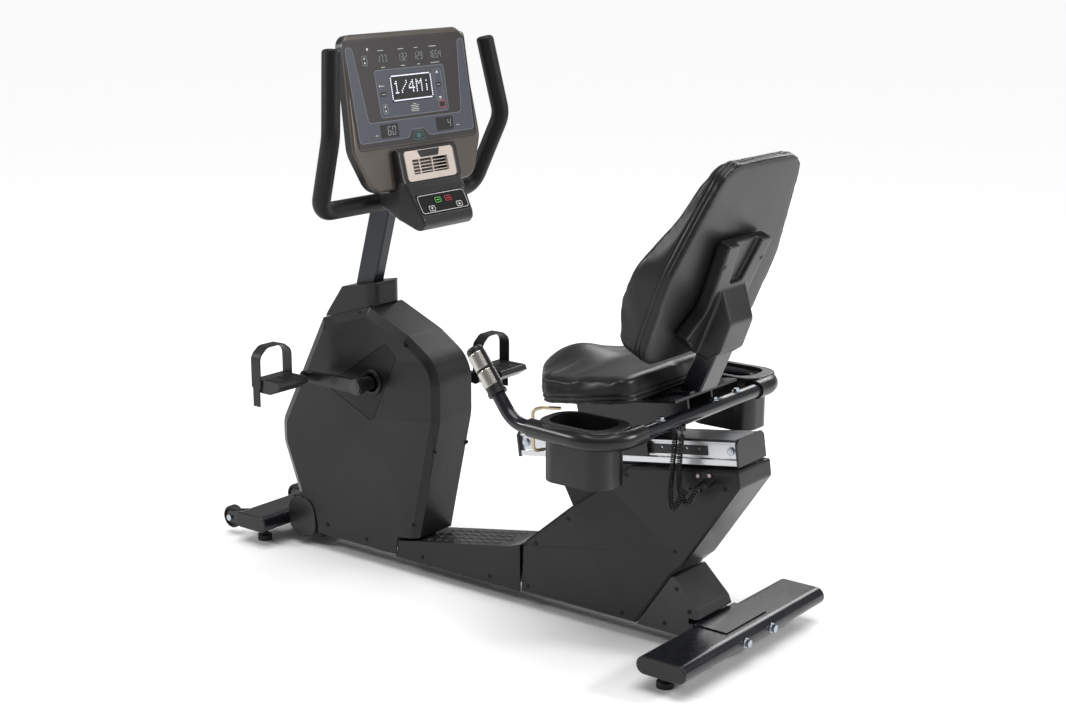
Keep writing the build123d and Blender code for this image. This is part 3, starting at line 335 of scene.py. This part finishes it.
TOP, PRINT = 0.0006, 0.0011
# The dark printed sheet, drawn down to z 0.101 although the sheet itself ends at about 0.112: the strip below the
# blue band is painted shadow under the sheet's edge.
sheet_with_painted_shadow = Print("display_sheet_painted_shadow", CONSOLE, dark_sheet, "frame")
sheet_with_painted_shadow.patch(rounded([(-0.206, 0.341), (0.206, 0.341), (0.201, 0.101), (-0.201, 0.101)], 0.012), -0.001, TOP)
sheet_with_painted_shadow.done()
band_points = [
    (-0.203, 0.328), (-0.181, 0.328), (-0.160, 0.156), (0.160, 0.156), (0.181, 0.328), (0.203, 0.328),
    (0.198, 0.113), (0.034, 0.113), (0.026, 0.131), (-0.026, 0.131), (-0.034, 0.113), (-0.198, 0.113),
]
band_loop = rounded(band_points, 0.010)
band = Print("display_band", CONSOLE, blue_sheet, "frame")
band.patch(band_loop, 0.0002, TOP + 0.0002)
inner_loop = rounded([(-0.119, 0.272), (0.119, 0.272), (0.117, 0.1645), (-0.117, 0.1645)], 0.009)
band.patch(inner_loop, 0.0002, TOP + 0.0002)
band.done()
lines = Print("display_lines", CONSOLE, line_print, "frame")
lines.line(band_loop, 0.0011, 0.0004, PRINT)
lines.line(inner_loop, 0.0011, 0.0004, PRINT)
lines.line(box_loop(0.080, 0.106, 0.190, 0.262, 0.006), 0.0009, 0.0004, PRINT)
for y, z in ((-0.145, 0.296), (-0.099, 0.184)):
    lines.line(box_loop(y - 0.008, y + 0.008, z - 0.011, z + 0.011, 0.006), 0.0013, 0.0004, PRINT)
lines.done()
windows = Print("display_windows", CONSOLE, window_sheet, "frame")
for y in (-0.126, 0.066):
    windows.patch(box_loop(y, y + 0.060, 0.119, 0.150, 0.001), 0.0004, PRINT)
windows.patch(box_loop(-0.072, 0.070, 0.196, 0.259, 0.002), 0.0004, PRINT)
for y, z in ((0.093, 0.226), (-0.099, 0.217), (0.097, 0.180)):
    windows.patch(box_loop(y - 0.009, y + 0.009, z - 0.005, z + 0.005, 0.002), 0.0004, PRINT)
windows.done()
numbers = Print("display_numbers", CONSOLE, lit_digits, "frame")
for text, y in (("177", -0.103), ("132", -0.034), ("129", 0.020), ("1654", 0.074)):
    digits(numbers, text, y, 0.289, 0.0068, 0.0165, 0.0004, PRINT)
digits(numbers, "60", -0.103, 0.125, 0.0095, 0.019, 0.0009, PRINT + 0.0004)
digits(numbers, "4", 0.106, 0.125, 0.0095, 0.019, 0.0009, PRINT + 0.0004)
numbers.done()
captions = Print("display_captions", CONSOLE, white_print, "frame")
for y, z, wide in (
    (-0.089, 0.316, 0.020), (-0.021, 0.316, 0.020), (0.032, 0.316, 0.013), (0.090, 0.316, 0.026),
    (-0.087, 0.278, 0.013), (-0.020, 0.278, 0.014), (0.034, 0.278, 0.010), (0.092, 0.278, 0.030),
    (-0.140, 0.127, 0.010), (0.142, 0.127, 0.012), (-0.098, 0.236, 0.012), (-0.098, 0.217, 0.012),
    (0.001, 0.1885, 0.012), (0.001, 0.1845, 0.030), (0.001, 0.1805, 0.024), (0.001, 0.1765, 0.028),
    (0.001, 0.1725, 0.026), (0.093, 0.226, 0.012),
):
    pieces = max(3, int(wide / 0.0028))
    step = wide / pieces
    for k in range(pieces):
        left = y - wide / 2 + k * step
        captions.patch(box_loop(left, left + step * 0.72, z - 0.0008, z + 0.0008), 0.0009, PRINT + 0.0002)
for z, lift in ((0.253, 0.006), (0.198, -0.006)):
    captions.patch([Vector((0.087, z)), Vector((0.099, z)), Vector((0.093, z + lift))], 0.0009, PRINT + 0.0002)
captions.patch(box_loop(-0.134, -0.129, 0.318, 0.324, 0.002), 0.0004, PRINT)
captions.patch(box_loop(-0.110, -0.1065, 0.234, 0.239, 0.0015), 0.0009, PRINT + 0.0002)
for y, z in ((-0.145, 0.296), (-0.099, 0.184)):
    for lift in (-0.005, 0.005):
        captions.patch(box_loop(y - 0.002, y + 0.002, z + lift - 0.002, z + lift + 0.002, 0.0015), 0.0004, PRINT)
captions.done()
alert = Print("display_red_key", CONSOLE, red_print, "frame")
alert.line(box_loop(0.086, 0.108, 0.172, 0.188, 0.003), 0.0011, 0.0004, PRINT)
alert.done()
badge = Print("display_teal_mark", CONSOLE, teal_print, "frame")
badge.line(rounded([(-0.019, 0.106), (0.019, 0.106), (0.013, 0.127), (-0.013, 0.127)], 0.003), 0.0016, 0.0004, PRINT)
badge.patch(box_loop(-0.007, 0.007, 0.110, 0.121, 0.003), 0.0004, PRINT)
badge.done()

GLYPHS = {
    "1": ("00100", "01100", "00100", "00100", "00100", "00100", "01110"),
    "/": ("00001", "00001", "00010", "00100", "01000", "10000", "10000"),
    "4": ("00010", "00110", "01010", "10010", "11111", "00010", "00010"),
    "M": ("10001", "11011", "10101", "10001", "10001", "10001", "10001"),
    "i": ("00000", "00100", "00000", "00100", "00100", "00100", "00100"),
}
dots = Print("display_dots", CONSOLE, lit_dots, "frame")
pitch = 0.0043
columns, rows = 33, 14
origin_y, origin_z = -0.0695, 0.2
for column in range(columns):
    for row in range(rows):
        edge_row = row in (0, rows - 1)
        edge_column = column in (0, columns - 1)
        lit = edge_row != edge_column
        for k, sign in enumerate("1/4Mi"):
            u, v = column - 2 - k * 6, rows - 4 - row
            if 0 <= u < 5 and 0 <= v < 7:
                lit = lit or GLYPHS[sign][v][u] == "1"
        if lit:
            y, z = origin_y + column * pitch, origin_z + row * pitch
            dots.patch(box_loop(y - 0.0014, y + 0.0014, z - 0.0014, z + 0.0014, 0.001), 0.0009, PRINT + 0.0005)
dots.done()
rim = Print("display_edge", CONSOLE, dark_sheet, "frame")
rim_loop = rounded([(-0.2085, 0.3435), (0.2085, 0.3435), (0.2035, 0.0975), (-0.2035, 0.0975)], 0.013)
rim.line(rim_loop, 0.0022, -0.0005, 0.0013)
rim.done()

# ---------------------------------------------------------------- nose: blank badge and keys
mark = Print("bezel_badge", VENT, trim_plastic, "frame")
mark.patch(rounded([(-0.030, 0.0165), (0.030, 0.0165), (0.038, 0.0325), (-0.038, 0.0325)], 0.002), 0.0012, 0.0028)
mark.done()
grille = Print("bezel_lattice", VENT, bezel, "frame")
for y in (-0.0345, 0.0095):
    for k in range(5):
        grille.patch(box_loop(y - 0.003, y + 0.003, -0.019 + k * 0.0076, -0.016 + k * 0.0076, 0.001), -0.003, -0.0008)
grille.done()
outline = Print("keypad_outline", KEYPAD, white_print, "frame")
outline.line(box_loop(-0.081, 0.081, -0.0215, 0.0215, 0.009), 0.0012, 0.0001, 0.0008)
outline.done()
KEYS = {
    "start": (-0.016, 0.006, green_print, 0), "stop": (0.019, 0.006, red_print, 0),
    "down": (-0.046, -0.012, white_print, -1), "up": (0.050, -0.012, white_print, 1),
}
for word, (y, z, ink, arrow) in KEYS.items():
    ring = Print(f"key_ring_{word}", KEYPAD, ink, f"{word}_button")
    ring.line(box_loop(y - 0.0098, y + 0.0098, z - 0.0058, z + 0.0058, 0.003), 0.0013, 0.0010, 0.0018)
    if arrow:
        tip = Vector((y, z + 0.003 * arrow))
        base = z - 0.002 * arrow
        ring.patch([Vector((y - 0.0045, base)), Vector((y + 0.0045, base)), tip], 0.0010, 0.0018)
    else:
        ring.patch(box_loop(y - 0.0055, y + 0.0055, z - 0.0009, z + 0.0009, 0.0005), 0.0010, 0.0018)
    ring.done()


# ---------------------------------------------------------------- pads
def voxel_copy(name, node, voxel, shrink, passes=5, plug=()):
    """A remeshed copy of a CAD solid, pulled in a little all round, with a gap in it plugged."""
    bm = bmesh.new()
    bm.from_mesh(nodes[node].data)
    bmesh.ops.remove_doubles(bm, verts=bm.verts, dist=1e-5)
    if plug:
        near = [bm.verts.new(BACK @ Vector((x, -0.0358, z))) for x, z in plug]
        far = [bm.verts.new(BACK @ Vector((x, 0.0358, z))) for x, z in plug]
        sides = [near, far[::-1]]
        for i in range(len(plug)):
            j = (i + 1) % len(plug)
            sides.append((near[j], near[i], far[i], far[j]))
        bmesh.ops.recalc_face_normals(bm, faces=[bm.faces.new(side) for side in sides])
    mesh = bpy.data.meshes.new(name)
    bm.to_mesh(mesh)
    bm.free()
    pad = bpy.data.objects.new(name, mesh)
    scene.collection.objects.link(pad)
    remesh = pad.modifiers.new("Remesh", "REMESH")
    remesh.mode = "VOXEL"
    remesh.voxel_size = voxel
    bake(pad)
    relax(pad, passes, shrink)
    return pad


def bake(obj):
    """Replaces the object's mesh by what its modifiers make."""
    graph = bpy.context.evaluated_depsgraph_get()
    made = bpy.data.meshes.new_from_object(obj.evaluated_get(graph))
    old = obj.data
    obj.modifiers.clear()
    obj.data = made
    bpy.data.meshes.remove(old)


def relax(pad, passes, shrink=0.0):
    """Smooths the mesh, and pulls it in along its normals."""
    bm = bmesh.new()
    bm.from_mesh(pad.data)
    for _ in range(passes):
        bmesh.ops.smooth_vert(bm, verts=bm.verts, factor=0.5, use_axis_x=True, use_axis_y=True, use_axis_z=True)
    bm.normal_update()
    for vert in bm.verts:
        vert.co -= vert.normal * shrink
    bm.to_mesh(pad.data)
    bm.free()


def inflate(pad, pinned, cap, pressure=4.0):
    """Fills the pad by cloth pressure, with the pinned points held and the swell capped."""
    rest = [v.co.copy() for v in pad.data.vertices]
    held = pad.vertex_groups.new(name="held")
    held.add([i for i, co in enumerate(rest) if pinned(co)], 1.0, "REPLACE")
    cloth = pad.modifiers.new("Cloth", "CLOTH")
    cloth.settings.quality = 4
    cloth.settings.tension_stiffness = 40
    cloth.settings.compression_stiffness = 40
    cloth.settings.bending_stiffness = 12
    cloth.settings.use_pressure = True
    cloth.settings.uniform_pressure_force = pressure
    cloth.settings.vertex_group_mass = "held"
    cloth.settings.effector_weights.gravity = 0
    for step in range(1, 21):
        scene.frame_set(step)
    bake(pad)
    scene.frame_set(1)
    pad.vertex_groups.clear()
    for vert, start in zip(pad.data.vertices, rest):
        move = vert.co - start
        if move.length > cap:
            vert.co = start + move.normalized() * cap
    relax(pad, 6)


def shape(pad, place, change):
    """Moves each point of the pad by a function of its place in a local frame."""
    back = place.inverted()
    for vert in pad.data.vertices:
        local = back @ vert.co
        vert.co = place @ (local + change(local))


def bump(value, centre, width):
    return math.exp(-((value - centre) / width) ** 2)


def finish_pad(pad, node, look):
    divide = pad.modifiers.new("Subdivision", "SUBSURF")
    divide.levels = divide.render_levels = 1
    bake(pad)
    pad.data.materials.clear()
    pad.data.materials.append(look)
    for face in pad.data.polygons:
        face.use_smooth = True
    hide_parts(node)


def section(pad, centre, normal):
    """The longest closed line where a plane cuts the pad."""
    bm = bmesh.new()
    bm.from_mesh(pad.data)
    geometry = bm.verts[:] + bm.edges[:] + bm.faces[:]
    cut = bmesh.ops.bisect_plane(bm, geom=geometry, plane_co=centre, plane_no=normal)["geom_cut"]
    edges = [e for e in cut if isinstance(e, bmesh.types.BMEdge)]
    links = {}
    for edge in edges:
        a, b = edge.verts
        links.setdefault(a, []).append(b)
        links.setdefault(b, []).append(a)
    best, seen = [], set()
    for first in links:
        if first in seen:
            continue
        loop, here = [], first
        while here is not None:
            seen.add(here)
            loop.append(here.co.copy())
            here = next((v for v in links[here] if v not in seen), None)
        if len(loop) > len(best):
            best = loop
    bm.free()
    return best


def bead(name, loop, radius, look, body, closed=True):
    """A thin sewn bead along a line."""
    curve = bpy.data.curves.new(name, "CURVE")
    curve.dimensions = "3D"
    curve.bevel_depth = radius
    curve.bevel_resolution = 2
    spline = curve.splines.new("POLY")
    kept = loop[::2]
    spline.points.add(len(kept) - 1)
    for point, co in zip(spline.points, kept):
        point.co = (*co, 1)
    spline.use_cyclic_u = closed
    curve.materials.append(look)
    made = bpy.data.objects.new(name, curve)
    scene.collection.objects.link(made)
    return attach(made, body)


seat = voxel_copy("seat_pad", "seat_cushion", 0.0055, 0.004)
seat_base = 0.1525


def seat_held(co):
    local = RAIL.inverted() @ co
    return local.z < seat_base + 0.010


NOSE = ((0.08, 0.030), (0.13, 0.040), (0.175, 0.037), (0.215, 0.023), (0.26, 0.008), (0.32, 0.002), (0.50, 0.0))


def nose_height(u):
    """How far the pad's raised front stands above its level rear."""
    for (u0, h0), (u1, h1) in zip(NOSE, NOSE[1:]):
        if u <= u1:
            t = max(0.0, (u - u0) / (u1 - u0))
            t = t * t * (3 - 2 * t)
            return h0 + (h1 - h0) * t
    return 0.0


def seat_shape(p):
    """Sewn grooves low on the side, and thigh channels either side of the raised nose."""
    side = Vector((p.x - 0.29, p.y, 0)).normalized()
    high = p.z - seat_base
    groove = -0.0022 * (bump(high, 0.013, 0.0024) + bump(high, 0.022, 0.0024))
    on_top = max(0.0, min(1.0, (high - 0.030) / 0.030))
    thigh = -nose_height(p.x) * 0.8 * (1 - bump(p.y, 0, 0.085))
    hollow = -0.004 * bump(p.x, 0.34, 0.08) * bump(p.y, 0, 0.13)
    return side * groove + Vector((0, 0, on_top * (thigh + hollow)))


inflate(seat, seat_held, 0.005)
finish_pad(seat, "seat_cushion", vinyl)
shape(seat, RAIL, seat_shape)
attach(seat, "seat")
up = RAIL.to_3x3() @ Vector((0, 0, 1))
for k, (high, radius) in enumerate(((0.0175, 0.0012), (0.0095, 0.0007), (0.0262, 0.0007), (0.004, 0.0016))):
    loop = section(seat, RAIL @ Vector((0.29, 0, seat_base + high)), up)
    bead(f"seat_seam_{k + 1}", loop, radius, piping_vinyl, "seat")

back = voxel_copy("back_pad", "back_cushion", 0.0055, 0.004)


def back_held(co):
    local = BACK.inverted() @ co
    return local.x > -0.010


def back_shape(p):
    """Two sewn grooves round the rear edge, and a shallow hollow down the middle."""
    side = Vector((0, p.y, p.z - 0.23)).normalized()
    depth = -p.x
    groove = -0.0022 * (bump(depth, 0.018, 0.0024) + bump(depth, 0.028, 0.0024))
    front = max(0.0, min(1.0, (depth - 0.04) / 0.02))
    hollow = 0.006 * bump(p.y, 0, 0.10) * bump(p.z, 0.30, 0.12)
    return side * groove + Vector((front * hollow, 0, 0))


inflate(back, back_held, 0.005)
finish_pad(back, "back_cushion", vinyl)
shape(back, BACK, back_shape)
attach(back, "seat")
out = BACK.to_3x3() @ Vector((1, 0, 0))
for k, (depth, radius) in enumerate(((0.023, 0.0012), (0.0145, 0.0007), (0.0315, 0.0007), (0.006, 0.0013))):
    loop = section(back, BACK @ Vector((-depth, 0, 0.2)), out)
    bead(f"back_seam_{k + 1}", loop, radius, piping_vinyl, "seat")


def softened(name, node, voxel, passes, look, body, plug=()):
    """A moulding with its edges rounded over."""
    made = voxel_copy(name, node, voxel, 0.0, passes, plug)
    made.data.materials.clear()
    made.data.materials.append(look)
    for face in made.data.polygons:
        face.use_smooth = True
    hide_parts(node)
    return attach(made, body)


softened("console_nose", "console_pod", 0.0024, 10, pod_plastic, "frame")
softened("back_cover", "back_bracket", 0.0024, 4, base_cover, "seat",
         plug=((0.030, 0.1175), (0.070, 0.1175), (0.0776, 0.1288), (0.0590, 0.1518), (0.030, 0.1518)))


# ---------------------------------------------------------------- curly leads
def nurbs_line(name, points):
    """Points read from the smooth line of a route."""
    curve = bpy.data.curves.new(name, "CURVE")
    curve.dimensions = "3D"
    curve.resolution_u = 24
    spline = curve.splines.new("NURBS")
    spline.points.add(len(points) - 1)
    for point, co in zip(spline.points, points):
        point.co = (*co, 1)
    spline.order_u = 3
    spline.use_endpoint_u = True
    holder = bpy.data.objects.new(name, curve)
    scene.collection.objects.link(holder)
    graph = bpy.context.evaluated_depsgraph_get()
    graph.update()
    mesh = bpy.data.meshes.new_from_object(holder.evaluated_get(graph))
    line = [v.co.copy() for v in mesh.vertices]
    bpy.data.objects.remove(holder)
    bpy.data.meshes.remove(mesh)
    return line


def even_line(line, step):
    """The line again, with points an equal step apart."""
    kept, carried = [line[0]], 0.0
    for a, b in zip(line, line[1:]):
        run = (b - a).length
        reach = step - carried
        while reach <= run:
            kept.append(a.lerp(b, reach / run))
            reach += step
        carried = run - (reach - step)
    kept.append(line[-1])
    return kept


def frames_along(line):
    """Side directions that turn with the line and don't twist round it."""
    side = (line[1] - line[0]).orthogonal().normalized()
    frames = []
    for i, here in enumerate(line):
        along = (line[min(i + 1, len(line) - 1)] - line[max(i - 1, 0)]).normalized()
        side = (side - along * side.dot(along)).normalized()
        frames.append((here, side, along.cross(side)))
    return frames


WIRE = 0.0036
CURL = 0.0065


def helix(line, radius, per_turn=14, pitch=0.0047, straight=0.012):
    """The curled line round a centreline, with straight ends."""
    steps = even_line(line, pitch / per_turn)
    total = pitch / per_turn * (len(steps) - 1)
    path = []
    for i, (here, side, other) in enumerate(frames_along(steps)):
        s = i * pitch / per_turn
        near = min(s, total - s)
        grown = max(0.0, min(1.0, (near - straight * 0.5) / (straight * 0.5)))
        turn = 2 * math.pi * i / per_turn
        path.append(here + (side * math.cos(turn) + other * math.sin(turn)) * radius * grown)
    return path


def tube(name, path, radius, look, ring=8):
    bm = bmesh.new()
    rings = []
    for here, side, other in frames_along(path):
        loop = []
        for k in range(ring):
            turn = 2 * math.pi * k / ring
            loop.append(bm.verts.new(here + (side * math.cos(turn) + other * math.sin(turn)) * radius))
        rings.append(loop)
    for a, b in zip(rings, rings[1:]):
        for k in range(ring):
            j = (k + 1) % ring
            bm.faces.new((a[k], a[j], b[j], b[k]))
    bm.faces.new(rings[0][::-1])
    bm.faces.new(rings[-1])
    return from_bmesh(name, bm, look, None, smooth=True)


LEAD_ROUTES = {
    "front": [
        (0.594, -0.086, 0.508), (0.592, -0.087, 0.474), (0.590, -0.089, 0.440), (0.590, -0.094, 0.404),
        (0.595, -0.105, 0.372), (0.609, -0.122, 0.352), (0.627, -0.140, 0.350), (0.643, -0.151, 0.368),
        (0.650, -0.142, 0.392), (0.650, -0.118, 0.397),
    ],
    "rear": [
        (0.610, -0.086, 0.508), (0.608, -0.087, 0.476), (0.607, -0.090, 0.444), (0.608, -0.093, 0.412),
        (0.615, -0.100, 0.384), (0.630, -0.111, 0.366), (0.649, -0.125, 0.366), (0.667, -0.136, 0.378),
        (0.678, -0.134, 0.400), (0.678, -0.118, 0.401),
    ],
}
for word, route in LEAD_ROUTES.items():
    curled = helix(nurbs_line(f"lead_route_{word}", route), CURL - WIRE / 2)
    lead = tube(f"curly_lead_{word}", curled, WIRE / 2, cord_jacket)
    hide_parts(f"pulse_lead_{word}")
    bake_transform(lead)


# ---------------------------------------------------------------- small metal
def turned(name, profile, place, look, body, sides=24, flats=0):
    """A turned part from (radius, height) points; the last rings may be a hexagon."""
    bm = bmesh.new()
    rings = []
    for index, (radius, high) in enumerate(profile):
        loop = []
        for k in range(sides):
            turn = 2 * math.pi * k / sides
            reach = radius
            if flats and index >= flats:
                reach = radius * math.cos(math.pi / 6) / math.cos((turn % (math.pi / 3)) - math.pi / 6)
            loop.append(bm.verts.new(place @ Vector((reach * math.cos(turn), reach * math.sin(turn), high))))
        rings.append(loop)
    for a, b in zip(rings, rings[1:]):
        for k in range(sides):
            j = (k + 1) % sides
            bm.faces.new((a[k], a[j], b[j], b[k]))
    bm.faces.new(rings[0][::-1])
    bm.faces.new(rings[-1])
    return from_bmesh(name, bm, look, body)


def facing(origin, direction):
    return Matrix.Translation(origin) @ Vector(direction).to_track_quat("Z", "Y").to_matrix().to_4x4()


BOLT = [(0.0098, 0), (0.0098, 0.0012), (0.0090, 0.0018), (0.0070, 0.0018), (0.0070, 0.0062), (0.0058, 0.0070)]
for k, y in enumerate((-0.153, 0.051, 0.140)):
    turned(f"seat_bolt_{k + 1}", BOLT, facing((0.601, y, 0.5446), (0, 0, 1)), zinc, "seat", flats=3)
for word, side in (("left", -1), ("right", 1)):
    for k, u in enumerate((0.021, 0.568)):
        spot = RAIL @ Vector((u, side * 0.0455, 0.030))
        turned(f"rail_bolt_{word}_{k + 1}", BOLT, facing(spot, (0, side, 0)), zinc, "frame", flats=3)

for k, (x, z) in enumerate(((0.640, 0.410), (0.668, 0.416))):
    turned(f"socket_dot_{k + 1}", [(0.0042, 0), (0.0042, 0.0006), (0.0034, 0.0012)],
           facing((x, -0.0688, z), (0, -1, 0)), white_dot, "frame")
for word, side in (("left", -1), ("right", 1)):
    for k, (y, z) in enumerate(((0.070, 0.243), (0.101, 0.0745))):
        spot = BACK @ Vector((0.0298, side * y, z))
        turned(f"bracket_screw_{word}_{k + 1}", [(0.0052, 0), (0.0052, 0.0010), (0.0040, 0.0014)],
               facing(spot, BACK.to_3x3() @ Vector((1, 0, 0))), screw_black, "seat")
for word, side in (("left", -1), ("right", 1)):
    tip, bend = Vector((0.232, side * 0.309, 0.668)), Vector((0.344, side * 0.318, 0.530))
    along = (bend - tip).normalized()
    place = facing(tip - along * 0.006, along)
    bm = bmesh.new()
    for low, high in ((0.016, 0.052), (0.058, 0.094)):
        for centre in (0.0, math.pi):
            rings = []
            for r, h in ((0.0188, low), (0.0196, low), (0.0200, low + 0.001), (0.0200, high - 0.001), (0.0196, high),
                         (0.0188, high)):
                loop = []
                for k in range(17):
                    turn = centre + (k / 16 - 0.5) * 2.6
                    loop.append(bm.verts.new(place @ Vector((r * math.cos(turn), r * math.sin(turn), h))))
                rings.append(loop)
            for i in range(len(rings)):
                a, b = rings[i], rings[(i + 1) % len(rings)]
                for k in range(16):
                    bm.faces.new((a[k], a[k + 1], b[k + 1], b[k]))
            bm.faces.new([ring[0] for ring in rings])
            bm.faces.new([ring[-1] for ring in rings][::-1])
    from_bmesh(f"pulse_contacts_{word}", bm, stainless, "seat", smooth=False)

# ---------------------------------------------------------------- lines, screws and knuckles of the covers
SIDE_FACE = {
    "left": Matrix(((0, 1, 0, 0), (-1, 0, 0, 0), (0, 0, 1, 0), (0, 0, 0, 1))),
    "right": Matrix(((0, -1, 0, 0), (1, 0, 0, 0), (0, 0, 1, 0), (0, 0, 0, 1))),
}
SHROUD_SCREWS = ((-0.331, 0.628), (-0.180, 0.572), (-0.104, 0.320), (-0.166, 0.130), (-0.452, 0.070), (-0.320, 0.060),
                 (-0.449, 0.578))
ACCESS = ((-0.452, 0.438), (-0.386, 0.470), (-0.247, 0.566), (-0.211, 0.536), (-0.292, 0.367))
KNUCKLE = ((-0.586, 0.026), (-0.486, 0.026), (-0.500, 0.128), (-0.584, 0.124))
for word, side in (("left", -1), ("right", 1)):
    face = SIDE_FACE[word]
    seams = Print(f"cover_lines_{word}", face, screw_black, "frame")
    seams.line(rounded([(-side * x, z) for x, z in ACCESS], 0.010), 0.0016, 0.0675, 0.0686)
    seams.line([Vector((-side * 0.170, 0.152)), Vector((-side * 0.413, 0.195))], 0.0008, 0.0655, 0.0662, closed=False)
    seams.done()
    knuckle = Print(f"base_knuckle_{word}", face, smooth_cover, "frame")
    loop = rounded([(-side * x, z) for x, z in KNUCKLE], 0.070, steps=9)
    knuckle.patch(loop, 0.0670, 0.0712)
    knuckle.done()
    shroud = nodes[f"front_shroud_{word}"]
    for k, (x, z) in enumerate(SHROUD_SCREWS):
        hit, spot, normal, _ = shroud.ray_cast(Vector((x, side * 0.3, z)), Vector((0, -side, 0)))
        if hit:
            turned(f"shroud_screw_{word}_{k + 1}", [(0.0058, -0.0004), (0.0058, 0.0008), (0.0046, 0.0012)],
                   facing(spot, normal), screw_black, "frame")

# ---------------------------------------------------------------- embossed tread
slope = math.degrees(math.atan2(141 - 80, 128 + 213))
TREAD = Matrix.Translation((-0.213, 0, 0.080)) @ Matrix.Rotation(math.radians(-slope), 4, "Y")
bm = bmesh.new()
for row in range(4):
    for k in range(9):
        u = 0.075 + k * 0.027 + (0.0135 if row % 2 else 0)
        y = -0.042 + row * 0.028
        lozenge = [(u - 0.011, y - 0.004), (u + 0.006, y - 0.008), (u + 0.011, y + 0.004), (u - 0.006, y + 0.008)]
        prism(bm, [TREAD @ Vector((a, b, -0.0005)) for a, b in lozenge],
              [TREAD @ Vector((u + (a - u) * 0.86, y + (b - y) * 0.8, 0.0011)) for a, b in lozenge])
from_bmesh("footwell_tread", bm, smooth_cover, "frame")

for word, side in (("left", -1), ("right", 1)):
    bm = bmesh.new()
    pedal_x = -0.289 + side * 0.170
    for k in range(5):
        x = pedal_x - 0.006 + k * 0.0095
        for y0, y1 in ((-0.042, -0.012), (-0.006, 0.024), (0.030, 0.044)):
            low = [Vector((a, side * 0.208 + b, 0.4785)) for a, b in
                   ((x, y0), (x + 0.005, y0), (x + 0.005, y1), (x, y1))]
            prism(bm, low, [Vector((v.x * 0.8 + (x + 0.0025) * 0.2, v.y, 0.4808)) for v in low])
    from_bmesh(f"pedal_tread_{word}", bm, trim_plastic, f"pedal_{'near' if side < 0 else 'far'}")

# ---------------------------------------------------------------- floor, light and camera
bpy.ops.mesh.primitive_plane_add(size=160, location=(0, 0, cad_low.z))
floor = bpy.context.object
floor.name = "floor"
paper = finish_of("paper", (0.86, 0.86, 0.86), 0.9, grain=300, depth=0.02, shade=0.005)
floor.data.materials.append(paper)
floor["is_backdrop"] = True

world = bpy.data.worlds.new("studio")
scene.world = world
world.use_nodes = True
world.node_tree.nodes["Background"].inputs["Color"].default_value = (1, 1, 1, 1)
world.node_tree.nodes["Background"].inputs["Strength"].default_value = 0.3


def lamp(name, kind, place, target, energy, size=1.0):
    light = bpy.data.lights.new(name, kind)
    light.energy = energy
    if kind == "AREA":
        light.shape = "RECTANGLE"
        light.size, light.size_y = size, size * 0.6
    else:
        light.angle = math.radians(50)
    holder = bpy.data.objects.new(name, light)
    scene.collection.objects.link(holder)
    holder.location = place
    holder.rotation_mode = "QUATERNION"
    holder.rotation_quaternion = (Vector(target) - Vector(place)).to_track_quat("-Z", "Y")


lamp("sun", "SUN", (0.6, -0.6, 6.0), (0, 0, 0), 2.7)
lamp("key_box", "AREA", (-2.6, -2.6, 2.4), (-0.2, 0, 0.5), 55, 1.0)
lamp("rider_box", "AREA", (3.4, 1.6, 2.2), (0.2, 0, 0.6), 70, 1.0)
lamp("rear_box", "AREA", (-0.6, 3.6, 2.6), (0, 0, 0.6), 45, 2.0)

camera = bpy.data.cameras.new("camera")
camera.lens, camera.sensor_width = 62.0606, 36.0
camera.clip_start, camera.clip_end = 0.05, 200
viewer = bpy.data.objects.new("camera", camera)
scene.collection.objects.link(viewer)
viewer.location = (2.63744779, -3.19462899, 1.57749296)
viewer.rotation_euler = (math.radians(90 - 13.78598958), 0, math.radians(37.94157821))
scene.camera = viewer
scene.view_settings.view_transform = "Standard"

low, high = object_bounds()
